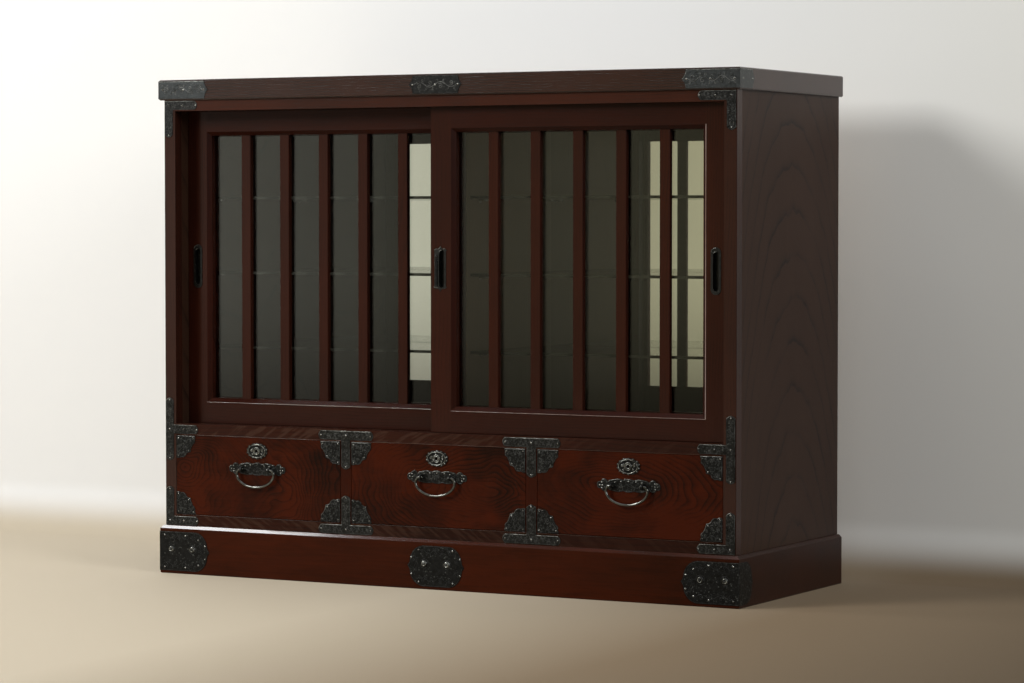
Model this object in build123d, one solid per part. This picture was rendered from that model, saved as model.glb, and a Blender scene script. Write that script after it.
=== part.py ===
"""Mizuya kitchen cabinet: latticed glass sliding doors over three drawers, on a plinth.

Millimetres, +Z up, +X to the right seen from the front, the front facing -Y.
The origin is the middle of the plinth's footprint, on the floor.
"""

import math
import os

from build123d import *

# ---- overall -------------------------------------------------------------------------------
WIDTH = 1364.0            # over the iron on the plinth's ends
DEPTH = 517.0             # from the eyes of the handles to the back of the case
HEIGHT = 1053.0
IRON = 1.0                # thickness of the flat iron fittings

# ---- fits ----------------------------------------------------------------------------------
JOINT_GAP = 0.1           # round a tenon in its mortise
RUN_GAP = 0.3             # between pieces that slide past each other
DRAWER_REVEAL = 0.7       # open line round a drawer front
GLASS_GAP = 0.5           # between a pane's edge and its rebate
ARRIS = 0.8               # eased outer edges of the show wood

# ---- plinth --------------------------------------------------------------------------------
PLINTH_HEIGHT = 102.5
PLINTH_BOARD = 24.0
PLINTH_CHAMFER = 6.0
PLINTH_ARRIS = 1.6        # eased outer edge along the plinth's foot
PLINTH_BLOCK = 42.0       # glue block in each corner
PLINTH_BEARER = 30.0      # cross bearer under the middle of the case

# ---- top board -----------------------------------------------------------------------------
TOP_THICK = 43.0
TOP_INSET = 1.0           # top board's wood inside the plinth's wood, at each end
TOP_ARRIS = 2.0
TOP_GROOVE = 10.0         # depth of the housings for the sides' tenons

# ---- case ----------------------------------------------------------------------------------
CASE_INSET = 10.0         # case's side inside the plinth's wood
CASE_SETBACK = 7.5        # case front behind the front of the plinth
SIDE_THICK = 27.5
STILE_DEPTH = 24.0        # solid front stile on each side board
SIDE_TENON_LONG = 70.0    # the side boards' three tenons into the top board
SIDE_TENON_INSET = 40.0
TONGUE = 8.0              # tongue-and-groove joints of the case, square in section
HOUSING = 7.0             # depth of the housings in the side boards
UPPER_RAIL_HEIGHT = 23.0
SILL_HEIGHT = 24.0
LOWER_RAIL_HEIGHT = 24.5
LOWER_RAIL_DEPTH = 62.0
DRAWER_OPENING = 170.0
RAIL_TENON_LONG = 14.0
RAIL_TENON_THICK = 11.0
RAIL_TENON_WIDE = 30.0
RAIL_TENON_INSET = 30.0   # tenons behind the case front
BACK_PLY = 6.0
BACK_BATTEN = 18.0
BATTEN_WIDE = 60.0
MIRROR_THICK = 5.0
FLOOR_THICK = 16.0
CEILING_DROP = 24.0       # display ceiling below the underside of the upper rail
CEILING_THICK = 12.0
PARTITION_THICK = 24.0
CASE_FLOOR_THICK = 12.0
RUNNER_WIDE = 22.0
STOP_LONG = 20.0
STOP_HIGH = 22.0
STOP_ROOM = 16.2          # from the stops to the back panel

# ---- shelves -------------------------------------------------------------------------------
SHELF_COUNT = 3
SHELF_THICK = 6.0
SHELF_SETBACK = 114.5     # front edge of the glass behind the case front
PARTITION_SETBACK = 102.5
SHELF_BACK_GAP = 6.0      # glass to mirror
SHELF_END_GAP = 1.5       # glass to side board or partition
PIN_RADIUS = 4.0
PIN_REACH = 14.0
PIN_PLUG = 9.0
PIN_FRONT_INSET = 46.0    # pins in from the shelf's front and back edges
PIN_BACK_INSET = 15.0

# ---- sliding doors -------------------------------------------------------------------------
DOOR_SETBACK = 18.0       # front door behind the case front
TRACK_PITCH = 30.0        # front door to rear door
DOOR_THICK = 27.0
DOOR_OVERLAP = 51.0       # where the closed doors cross
DOOR_STILE = 48.0         # flat face of a stile, beside its bevel
DOOR_TOP_RAIL = 43.0
DOOR_BOTTOM_RAIL = 45.0
BEVEL = 8.0               # bevel round the inside of a door frame
DOOR_SHOULDER = 0.8       # shoulder of a door over the sill and under the upper rail
TRACK_TONGUE = 11.0       # thickness of a door's tongues
TRACK_TONGUE_TOP = 11.0
TRACK_TONGUE_FOOT = 3.5
TRACK_SIDE_GAP = 0.5
TRACK_TOP_ROOM = 4.5      # room over the top tongue, to lift the door out
TRACK_FLOOR = 85.0        # depth of the grooved rails
DOOR_TENON_THICK = 9.0
DOOR_TENON_LONG = 32.0
DOOR_TENON_SHOULDER = 6.0
BAR_COUNT = 5
BAR_WIDTH = 22.5
BAR_DEPTH = 10.5
BAR_SETBACK = 10.0        # bar face behind the door face
BAR_ARRIS = 1.0
BAR_TENON = 9.0
PANE_THICK = 3.0
PANE_SETBACK = 20.8
PANE_LAP = 5.0            # pane behind the bevelled edge
BEAD_WIDE = 8.0

# ---- door pulls ----------------------------------------------------------------------------
PULL_LONG = 93.0
PULL_WIDE = 22.0
PULL_CUP_LONG = 78.0
PULL_CUP_WIDE = 12.0
PULL_CUP_DEEP = 9.0
PULL_WALL = 1.2
PULL_LIP = 1.0
PULL_RISE = 2.5           # middle of the pulls over the middle of the door opening
PULL_FROM_EDGE = 25.0     # middle of an outer pull from its door's outer edge
ORNATE_WIDE = 31.0
ORNATE_FROM_EDGE = 23.0
ORNATE_CUP_SHIFT = 3.0    # cup to the right of the middle of the larger pull
RIB_FROM_MIDDLE = 9.4     # upright rib to the left of the middle of the larger pull
RIB_RADIUS = 3.4
RIB_FOOT = 37.0           # rib's foot below the middle of the pull
RIB_HEAD = 25.0
RIB_RING = 4.2            # radius of the two rings near the rib's head

# ---- drawers -------------------------------------------------------------------------------
DRAWER_COUNT = 3
DIVIDER_WIDE = 25.0
DIVIDER_DEPTH = 40.0
DIVIDER_TENON = 8.0
DRAWER_FRONT_THICK = 20.0
DRAWER_SIDE_THICK = 11.0
DRAWER_SIDE_DROP = 2.0    # drawer sides below the top of the front
DRAWER_BACK_DROP = 14.0
DRAWER_BACK_INSET = 12.0  # back in from the ends of the sides
DRAWER_HOUSING = 4.0
DRAWER_LAP = 12.0         # how far the sides reach into the front
DOVETAILS = 4
DOVETAIL_SLOPE = 0.16
DRAWER_BOTTOM_THICK = 5.0
DRAWER_BOTTOM_RISE = 7.0
BOTTOM_GROOVE = 5.0

# ---- drawer fittings -----------------------------------------------------------------------
FAN = 48.0                # legs of the fan-shaped corner plates
FAN_INSET = 0.6
ESCUTCHEON_RISE = 57.0    # escutcheon's middle over the middle of the drawer
ESCUTCHEON_WIDE = 52.0
ESCUTCHEON_HIGH = 34.0
ESCUTCHEON_THICK = 2.0
ESCUTCHEON_PETALS = 14
ESCUTCHEON_RIM = 1.4      # rise of the rim round the escutcheon
KEYHOLE = 3.2
KEYHOLE_DEEP = 8.0
HANDLE_RISE = 18.0        # bail's hinge line over the middle of the drawer
HANDLE_PLATE_WIDE = 140.0
HANDLE_PLATE_HIGH = 28.0
HANDLE_LOBE = 14.0
HANDLE_FOOT = 0.9         # height of the plate's lower half, as a share of its upper half
POST_SPACING = 68.0
POST_THICK = 4.0
POST_ROUND = 5.5
POST_REACH = 9.0          # hinge line in front of the drawer face
BAIL_WIDE = 97.0
BAIL_DROP = 40.0
BAIL_ROD = 2.6            # radius of the bail's rod
BAIL_CORNER = 9.5
BAIL_PIN_PAST = 2.5       # bail's end past the inside of its post
EYE_GAP = 0.1

# ---- case iron -----------------------------------------------------------------------------
STRAP_ARM = 84.0          # arm and leg of the corner and tee straps, from the case's corner
STRAP_WIDE = 20.0
STRAP_INSET = 1.5         # strap from the case's outer edge
UPPER_LEG = 79.0
TEE_HALF = 67.0           # half height of the tee straps on the stiles
LOWER_LEG = 84.0
DIVIDER_ARM = 66.5
DIVIDER_STEM = 61.0       # stem below the arm's far edge
STRAP_TIP = 6.0
TOP_PLATE_MARGIN = 2.75   # wood above and below the plates on the top board
TOP_PLATE_LONG = 117.0
TOP_PLATE_SIDE = 59.0
TOP_CENTRE_LONG = 106.0
PLATE_TIP = 9.0
PLINTH_PLATE_BASE = 6.0   # plate's lower edge over the floor
PLINTH_PLATE_DROP = 12.5  # plate's upper edge below the top of the plinth
PLINTH_PLATE_STRAIGHT = 92.0
PLINTH_PLATE_TIP = 35.0
PLINTH_SIDE_STRAIGHT = 34.0
PLINTH_SIDE_TIP = 30.0
PLINTH_CENTRE_STRAIGHT = 62.0
PLINTH_CENTRE_TIP = 36.0
BOSS_RADIUS = 7.0
BOSS_HIGH = 4.5
BOSS_FROM_CORNER = 31.0
BOSS_SPACING = 53.0
BOSS_RISE = 5.0           # domed nails over the middle of their plate
BOSS_SHANK = 2.0
BOSS_SHANK_LONG = 14.0

# ---- worked out from the sizes above -------------------------------------------------------
HANDLE_PROUD = POST_REACH + POST_ROUND - CASE_SETBACK
FRONT = HANDLE_PROUD - DEPTH / 2     # outer face of the iron on the plinth and the top
BACK = DEPTH / 2
PLINTH_X = WIDTH / 2 - IRON
PLINTH_Y = FRONT + IRON
TOP_X = PLINTH_X - TOP_INSET
TOP_Z = HEIGHT - TOP_THICK
CASE_X = PLINTH_X - CASE_INSET
CASE_Y = FRONT + CASE_SETBACK
CASE_Z = PLINTH_HEIGHT
INNER_X = CASE_X - SIDE_THICK
RAIL_TOP_Z = CASE_Z + LOWER_RAIL_HEIGHT
SILL_Z = RAIL_TOP_Z + DRAWER_OPENING
SILL_TOP_Z = SILL_Z + SILL_HEIGHT
UPPER_RAIL_Z = TOP_Z - UPPER_RAIL_HEIGHT
TRACK_BACK_Y = CASE_Y + TRACK_FLOOR
PLY_Y = BACK - BACK_PLY
BATTEN_Y = PLY_Y - BACK_BATTEN
MIRROR_Y = BATTEN_Y - MIRROR_THICK
CEILING_Z = UPPER_RAIL_Z - CEILING_DROP
FLOOR_UNDER_Z = SILL_TOP_Z - FLOOR_THICK
CASE_FLOOR_TOP_Z = CASE_Z + CASE_FLOOR_THICK
DIVIDER_PITCH = (2 * INNER_X - (DRAWER_COUNT - 1) * DIVIDER_WIDE) / DRAWER_COUNT + DIVIDER_WIDE
DRAWER_WIDTH = DIVIDER_PITCH - DIVIDER_WIDE - 2 * DRAWER_REVEAL
DRAWER_XS = [(i - (DRAWER_COUNT - 1) / 2) * DIVIDER_PITCH for i in range(DRAWER_COUNT)]
DIVIDER_XS = [(i - (DRAWER_COUNT - 2) / 2) * DIVIDER_PITCH for i in range(DRAWER_COUNT - 1)]
DRAWER_NAMES = ["drawer_left", "drawer_centre", "drawer_right"]
DOOR_WIDTH = INNER_X + DOOR_OVERLAP / 2 - RUN_GAP
DOOR_BASE_Z = SILL_TOP_Z + DOOR_SHOULDER
DOOR_HEAD_Z = UPPER_RAIL_Z - DOOR_SHOULDER
FRONT_DOOR_Y = CASE_Y + DOOR_SETBACK
REAR_DOOR_Y = FRONT_DOOR_Y + TRACK_PITCH
TONGUE_SETBACK = (DOOR_THICK - TRACK_TONGUE) / 2
SHELF_Y = CASE_Y + SHELF_SETBACK
SHELF_BACK_Y = MIRROR_Y - SHELF_BACK_GAP
SHELF_PITCH = (CEILING_Z - SILL_TOP_Z) / (SHELF_COUNT + 1)
SHELF_ZS = [SILL_TOP_Z + SHELF_PITCH * (i + 1) - SHELF_THICK / 2 for i in range(SHELF_COUNT)]
DRAWER_LENGTH = PLY_Y - CASE_Y - STOP_ROOM - STOP_LONG - RUN_GAP
DRAWER_Z = (RAIL_TOP_Z + SILL_Z) / 2
HINGE_Z = DRAWER_Z + HANDLE_RISE
LOCK_Z = DRAWER_Z + ESCUTCHEON_RISE
PULL_Z = (SILL_TOP_Z + UPPER_RAIL_Z) / 2 + PULL_RISE
PLATE_TOP_Z = PLINTH_HEIGHT - PLINTH_PLATE_DROP
BOSS_Z = (PLINTH_PLATE_BASE + PLATE_TOP_Z) / 2 + BOSS_RISE

nodes = {}


# ---- helpers -------------------------------------------------------------------------------
def board(x0, x1, y0, y1, z0, z1):
    """A squared board between two opposite corners."""
    centre = Pos((x0 + x1) / 2, (y0 + y1) / 2, (z0 + z1) / 2)
    return centre * Box(abs(x1 - x0), abs(y1 - y0), abs(z1 - z0))


def grown(x0, x1, y0, y1, z0, z1, gap=JOINT_GAP):
    """The same board with a clearance all round: the mortise for a tenon."""
    return board(x0 - gap, x1 + gap, y0 - gap, y1 + gap, z0 - gap, z1 + gap)


def mirrored(shape):
    """The shape on the other side of the cabinet."""
    return shape.mirror(Plane.YZ)


def keep(name, *shapes):
    """Files solids under a node's name."""
    solids = nodes.setdefault(name, [])
    for shape in shapes:
        solids.extend(shape.solids())


def prism(points, plane, length):
    """A straight length of the section through the given points of a plane."""
    return extrude(plane * make_face(Polyline(*points, close=True)), length)


def upright_edge(shape, x, y):
    """The shape's upright edge nearest to (x, y)."""
    uprights = shape.edges().filter_by(Axis.Z)
    return uprights.sort_by(lambda e: math.hypot(e.center().X - x, e.center().Y - y))[0]


def pointed_end(x, z0, z1, tip):
    """Two arcs from (x, z0) round to (x, z1) that meet in a point at x + tip."""
    middle = (z0 + z1) / 2
    quarter = (z1 - z0) / 4
    point = (x + tip, middle)
    lower = ThreePointArc((x, z0), (x + tip * 0.72, middle - quarter), point)
    upper = ThreePointArc(point, (x + tip * 0.72, middle + quarter), (x, z1))
    return [lower, upper]


def lobed_end(x, z0, z1, tip):
    """A rounded end with a small hollow-sided point, from (x, z0) round to (x, z1)."""
    middle = (z0 + z1) / 2
    half = (z1 - z0) / 2
    point = (x + tip, middle)
    shoulder = (x + tip * 0.82, half * 0.34)
    curve = []
    for side in (-1, 1):
        corner = (x, middle + side * half)
        turn = (x + tip * 0.56, middle + side * half * 0.77)
        lobe = (shoulder[0], middle + side * shoulder[1])
        hollow = (x + tip * 0.885, middle + side * half * 0.13)
        curve.append([ThreePointArc(corner, turn, lobe), ThreePointArc(lobe, hollow, point)])
    return curve[0] + curve[1]


def cusped_end(x, z0, z1, tip):
    """Two hollow arcs from (x, z0) and (x, z1) that meet in a cusp at x + tip."""
    middle = (z0 + z1) / 2
    quarter = (z1 - z0) / 4
    point = (x + tip, middle)
    lower = ThreePointArc((x, z0), (x + tip * 0.22, middle - quarter), point)
    upper = ThreePointArc(point, (x + tip * 0.22, middle + quarter), (x, z1))
    return [lower, upper]


# ---- plinth --------------------------------------------------------------------------------
def build_plinth():
    """Four boards, mitred at the front and butted at the back, with blocks and a bearer."""
    x, y0, t = PLINTH_X, PLINTH_Y, PLINTH_BOARD
    top = Plane.XY
    front = prism([(-x, y0), (x, y0), (x - t, y0 + t), (-x + t, y0 + t)], top, PLINTH_HEIGHT)
    end = prism([(x, y0), (x, BACK), (x - t, BACK), (x - t, y0 + t)], top, PLINTH_HEIGHT)
    along = Plane(origin=(-x, 0, 0), x_dir=(0, 1, 0), z_dir=(1, 0, 0))
    across = Plane(origin=(0, BACK, 0), x_dir=(1, 0, 0), z_dir=(0, -1, 0))
    for z, cut in ((PLINTH_HEIGHT, -PLINTH_CHAMFER), (0, PLINTH_ARRIS)):
        inward = abs(cut)
        front -= prism([(y0, z), (y0, z + cut), (y0 + inward, z)], along, 2 * x)
        end -= prism([(x, z), (x, z + cut), (x - inward, z)], across, BACK - y0)
    inner_front = y0 + t
    inner_back = BACK - t
    bearer = board(
        -PLINTH_BEARER / 2, PLINTH_BEARER / 2, inner_front - TONGUE, inner_back + TONGUE,
        PLINTH_HEIGHT - 2 * PLINTH_BEARER, PLINTH_HEIGHT,
    )
    keep("plinth_front", front - bearer)
    keep("plinth_ends", end, mirrored(end))
    keep("plinth_back", board(-x + t, x - t, inner_back, BACK, 0, PLINTH_HEIGHT) - bearer)
    keep("plinth_blocks", bearer)

    for ys in ((inner_front, inner_front + PLINTH_BLOCK), (inner_back - PLINTH_BLOCK, inner_back)):
        corner = prism(
            [(x - t, ys[0]), (x - t, ys[1]), (x - t - PLINTH_BLOCK, ys[0])]
            if ys[0] == inner_front
            else [(x - t, ys[0]), (x - t, ys[1]), (x - t - PLINTH_BLOCK, ys[1])],
            Plane.XY,
            PLINTH_HEIGHT,
        )
        keep("plinth_blocks", corner, mirrored(corner))


# ---- case ----------------------------------------------------------------------------------
def side_tenon_spans():
    """Where the side boards' three tenons enter the top board, as (y0, y1)."""
    first = CASE_Y + STILE_DEPTH + SIDE_TENON_INSET
    last = BACK - SIDE_TENON_INSET - SIDE_TENON_LONG
    starts = [first + (last - first) * i / 2 for i in range(3)]
    return [(start, start + SIDE_TENON_LONG) for start in starts]


def side_tenon(y0, y1):
    """One tenon on the top of the right side board, as board limits."""
    middle = (CASE_X + INNER_X) / 2
    return (middle - TONGUE / 2, middle + TONGUE / 2, y0, y1, TOP_Z, TOP_Z + TOP_GROOVE)


def rail_tenon(z0, z1):
    """A rail's tenon into the right side board, as board limits."""
    middle = (z0 + z1) / 2
    y0 = CASE_Y + RAIL_TENON_INSET
    return (
        INNER_X, INNER_X + RAIL_TENON_LONG, y0, y0 + RAIL_TENON_WIDE,
        middle - RAIL_TENON_THICK / 2, middle + RAIL_TENON_THICK / 2,
    )


def rail_tenons():
    """The tenons of the upper rail, the sill and the lower rail, at the right-hand end."""
    return [
        rail_tenon(UPPER_RAIL_Z, TOP_Z),
        rail_tenon(SILL_Z, SILL_TOP_Z),
        rail_tenon(CASE_Z, RAIL_TOP_Z),
    ]


def build_sides():
    """The side boards with their solid front stiles, housed for the boards between them."""
    groove_x = (CASE_X + INNER_X) / 2
    stile_back = CASE_Y + STILE_DEPTH
    stile = board(INNER_X, CASE_X, CASE_Y, stile_back, CASE_Z, TOP_Z)
    stile = chamfer(upright_edge(stile, CASE_X, CASE_Y), ARRIS)
    stile -= board(
        groove_x - TONGUE / 2 - JOINT_GAP, groove_x + TONGUE / 2 + JOINT_GAP,
        stile_back - TONGUE - JOINT_GAP, stile_back, CASE_Z, TOP_Z,
    )
    keep("front_stiles", stile, mirrored(stile))

    side = board(INNER_X, CASE_X, stile_back, BACK, CASE_Z, TOP_Z)
    side += board(
        groove_x - TONGUE / 2, groove_x + TONGUE / 2, stile_back - TONGUE, stile_back, CASE_Z, TOP_Z
    )
    for y0, y1 in side_tenon_spans():
        side += board(*side_tenon(y0, y1))
    housed = INNER_X + HOUSING
    side -= board(INNER_X, housed + JOINT_GAP, PLY_Y, BACK, CASE_Z, TOP_Z)
    side -= board(
        INNER_X, housed + JOINT_GAP, TRACK_BACK_Y, BATTEN_Y,
        FLOOR_UNDER_Z - JOINT_GAP, SILL_TOP_Z + JOINT_GAP,
    )
    side -= board(
        INNER_X, housed + JOINT_GAP, TRACK_BACK_Y, BATTEN_Y,
        CEILING_Z - JOINT_GAP, CEILING_Z + CEILING_THICK + JOINT_GAP,
    )
    side -= board(
        INNER_X, housed + JOINT_GAP, CASE_Y + LOWER_RAIL_DEPTH, PLY_Y,
        CASE_Z, CASE_FLOOR_TOP_Z + JOINT_GAP,
    )
    for tenon in rail_tenons():
        side -= grown(*tenon)
    for x0, x1, y0, y1, z0, z1 in pin_plugs():
        if x1 > INNER_X:
            hole = Pos(INNER_X, (y0 + y1) / 2, (z0 + z1) / 2) * Rot(0, 90, 0)
            side -= hole * Cylinder(PIN_RADIUS, 2 * (PIN_PLUG + JOINT_GAP))
    keep("side_right", side)
    keep("side_left", mirrored(side))


def build_top():
    """The thick top board, eased along its edges and mortised for the sides."""
    y0 = PLINTH_Y
    top = board(-TOP_X, TOP_X, y0, BACK, TOP_Z, HEIGHT)
    outer = top.edges().filter_by(lambda e: e.center().Z > HEIGHT - 1 or e.center().Z < TOP_Z + 1)
    top = chamfer(outer, TOP_ARRIS)
    for span in side_tenon_spans():
        mortise = grown(*side_tenon(*span))
        top -= mortise
        top -= mirrored(mortise)
    keep("top_board", top)


def grooved_rail(z0, z1, groove_z0, groove_z1):
    """A rail across the whole opening, with a groove for each door's tongue."""
    rail = board(-INNER_X, INNER_X, CASE_Y, TRACK_BACK_Y, z0, z1)
    for door_y in (FRONT_DOOR_Y, REAR_DOOR_Y):
        g0 = door_y + TONGUE_SETBACK - TRACK_SIDE_GAP
        g1 = door_y + TONGUE_SETBACK + TRACK_TONGUE + TRACK_SIDE_GAP
        rail -= board(-INNER_X, INNER_X, g0, g1, groove_z0, groove_z1)
    tenon = board(*rail_tenon(z0, z1))
    return rail + tenon + mirrored(tenon)


def build_rails():
    """Upper rail and sill with the doors' grooves, and the lower rail under the drawers."""
    head_room = TRACK_TONGUE_TOP + TRACK_TOP_ROOM
    keep("upper_rail", grooved_rail(UPPER_RAIL_Z, TOP_Z, UPPER_RAIL_Z, DOOR_HEAD_Z + head_room))
    foot = DOOR_BASE_Z - TRACK_TONGUE_FOOT - RUN_GAP
    sill = grooved_rail(SILL_Z, SILL_TOP_Z, foot, SILL_TOP_Z)
    for x in DIVIDER_XS:
        sill -= grown(*divider_tenon(x, SILL_Z, SILL_Z + DIVIDER_TENON))
    keep("door_sill", sill)

    lower = board(-INNER_X, INNER_X, CASE_Y, CASE_Y + LOWER_RAIL_DEPTH, CASE_Z, RAIL_TOP_Z)
    tenon = board(*rail_tenon(CASE_Z, RAIL_TOP_Z))
    lower += tenon + mirrored(tenon)
    rail_back = CASE_Y + LOWER_RAIL_DEPTH
    lower -= board(
        -INNER_X, INNER_X, rail_back - TONGUE - JOINT_GAP, rail_back, CASE_Z, CASE_FLOOR_TOP_Z + JOINT_GAP
    )
    for x in DIVIDER_XS:
        lower -= grown(*divider_tenon(x, RAIL_TOP_Z - DIVIDER_TENON, RAIL_TOP_Z))
    keep("lower_rail", lower)


def divider_tenon(x, z0, z1):
    """A divider's stub tenon, as board limits."""
    return (x - DIVIDER_WIDE / 4, x + DIVIDER_WIDE / 4, CASE_Y + 8, CASE_Y + DIVIDER_DEPTH - 8, z0, z1)


def build_drawer_bay():
    """Dividers and partitions between the drawers, with the floor, runners, kickers and stops."""
    half = DIVIDER_WIDE / 2
    divider_back = CASE_Y + DIVIDER_DEPTH
    rail_back = CASE_Y + LOWER_RAIL_DEPTH
    for x in DIVIDER_XS:
        post = board(x - half, x + half, CASE_Y, divider_back, RAIL_TOP_Z, SILL_Z)
        post += board(*divider_tenon(x, RAIL_TOP_Z - DIVIDER_TENON, SILL_Z + DIVIDER_TENON))
        post -= board(
            x - TONGUE / 2 - JOINT_GAP, x + TONGUE / 2 + JOINT_GAP,
            divider_back - TONGUE - JOINT_GAP, divider_back, RAIL_TOP_Z, SILL_Z,
        )
        keep("drawer_dividers", post)
        panel = board(x - half, x + half, divider_back, PLY_Y, CASE_FLOOR_TOP_Z, FLOOR_UNDER_Z)
        panel -= board(x - half, x + half, divider_back, rail_back, CASE_FLOOR_TOP_Z, RAIL_TOP_Z)
        panel -= board(x - half, x + half, divider_back, TRACK_BACK_Y, SILL_Z, FLOOR_UNDER_Z)
        panel += board(
            x - TONGUE / 2, x + TONGUE / 2, divider_back - TONGUE, divider_back, RAIL_TOP_Z, SILL_Z
        )
        keep("drawer_partitions", panel)

    floor = board(
        -INNER_X - HOUSING, INNER_X + HOUSING, rail_back, PLY_Y, CASE_Z, CASE_FLOOR_TOP_Z
    )
    floor += board(-INNER_X, INNER_X, rail_back - TONGUE, rail_back, CASE_Z, CASE_FLOOR_TOP_Z)
    keep("case_floor", floor)

    for x in DRAWER_XS:
        edge = DIVIDER_PITCH / 2 - half
        for side in (-1, 1):
            x0 = x + side * edge
            x1 = x0 - side * RUNNER_WIDE
            low, high = min(x0, x1), max(x0, x1)
            keep("drawer_runners", board(low, high, rail_back, PLY_Y, CASE_FLOOR_TOP_Z, RAIL_TOP_Z))
            keep("drawer_kickers", board(low, high, TRACK_BACK_Y, PLY_Y, SILL_Z, FLOOR_UNDER_Z))
            stop_y = CASE_Y + DRAWER_LENGTH + RUN_GAP
            keep(
                "drawer_stops",
                board(low, high, stop_y, stop_y + STOP_LONG, RAIL_TOP_Z, RAIL_TOP_Z + STOP_HIGH),
            )


def build_display():
    """Floor, ceiling, middle partition, mirrors and glass shelves behind the doors."""
    housed = INNER_X + HOUSING
    keep("display_floor", board(-housed, housed, TRACK_BACK_Y, BATTEN_Y, FLOOR_UNDER_Z, SILL_TOP_Z))
    keep(
        "display_ceiling",
        board(-housed, housed, TRACK_BACK_Y, BATTEN_Y, CEILING_Z, CEILING_Z + CEILING_THICK),
    )
    half = PARTITION_THICK / 2
    partition = board(-half, half, CASE_Y + PARTITION_SETBACK, MIRROR_Y, SILL_TOP_Z, CEILING_Z)
    for x0, x1, y0, y1, z0, z1 in pin_plugs():
        if x0 < half and x1 > 0:
            hole = Pos(half, (y0 + y1) / 2, (z0 + z1) / 2) * Rot(0, 90, 0)
            bore = hole * Cylinder(PIN_RADIUS, 2 * (PIN_PLUG + JOINT_GAP))
            partition -= bore
            partition -= mirrored(bore)
    keep("display_partition", partition)

    mirror_glass = board(
        RUN_GAP, INNER_X - RUN_GAP, MIRROR_Y, BATTEN_Y, SILL_TOP_Z, CEILING_Z - RUN_GAP
    )
    keep("back_mirrors", mirror_glass, mirrored(mirror_glass))

    for z in SHELF_ZS:
        glass = board(
            half + SHELF_END_GAP, INNER_X - SHELF_END_GAP, SHELF_Y, SHELF_BACK_Y, z, z + SHELF_THICK
        )
        keep("shelves_right", glass)
        keep("shelves_left", mirrored(glass))
    for x0, x1, y0, y1, z0, z1 in pin_plugs():
        y, z = (y0 + y1) / 2, (z0 + z1) / 2
        wall = INNER_X if x1 > INNER_X else PARTITION_THICK / 2
        inward = -1 if wall == INNER_X else 1
        plug = Cylinder(PIN_RADIUS - JOINT_GAP, PIN_PLUG)
        pin = Pos(wall - inward * PIN_PLUG / 2, y, z) * Rot(0, 90, 0) * plug
        reach = sorted((wall, wall + inward * PIN_REACH))
        pin += board(reach[0], reach[1], y - PIN_RADIUS * 2, y + PIN_RADIUS * 2, z, z + PIN_RADIUS)
        keep("shelf_pins", pin, mirrored(pin))


def pin_plugs():
    """Where the right-hand bay's shelf pins are plugged, as board limits."""
    spots = []
    for shelf_z in SHELF_ZS:
        z = shelf_z - PIN_RADIUS
        for y in (SHELF_Y + PIN_FRONT_INSET, SHELF_BACK_Y - PIN_BACK_INSET):
            for x0, x1 in (
                (INNER_X, INNER_X + PIN_PLUG),
                (PARTITION_THICK / 2 - PIN_PLUG, PARTITION_THICK / 2),
            ):
                spots.append((x0, x1, y - PIN_RADIUS, y + PIN_RADIUS, z - PIN_RADIUS, z + PIN_RADIUS))
    return spots


def build_back():
    """The ply back in its rebates, and the battens that carry the mirrors."""
    housed = INNER_X + HOUSING
    keep("back_panel", board(-housed, housed, PLY_Y, BACK, CASE_Z, TOP_Z))
    low, high = FLOOR_UNDER_Z, TOP_Z
    for z0 in (low, high - BATTEN_WIDE):
        keep("back_battens", board(-INNER_X, INNER_X, BATTEN_Y, PLY_Y, z0, z0 + BATTEN_WIDE))
    half = BATTEN_WIDE / 2
    for x in (-INNER_X + half, 0, INNER_X - half):
        keep(
            "back_battens",
            board(x - half, x + half, BATTEN_Y, PLY_Y, low + BATTEN_WIDE, high - BATTEN_WIDE),
        )


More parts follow.
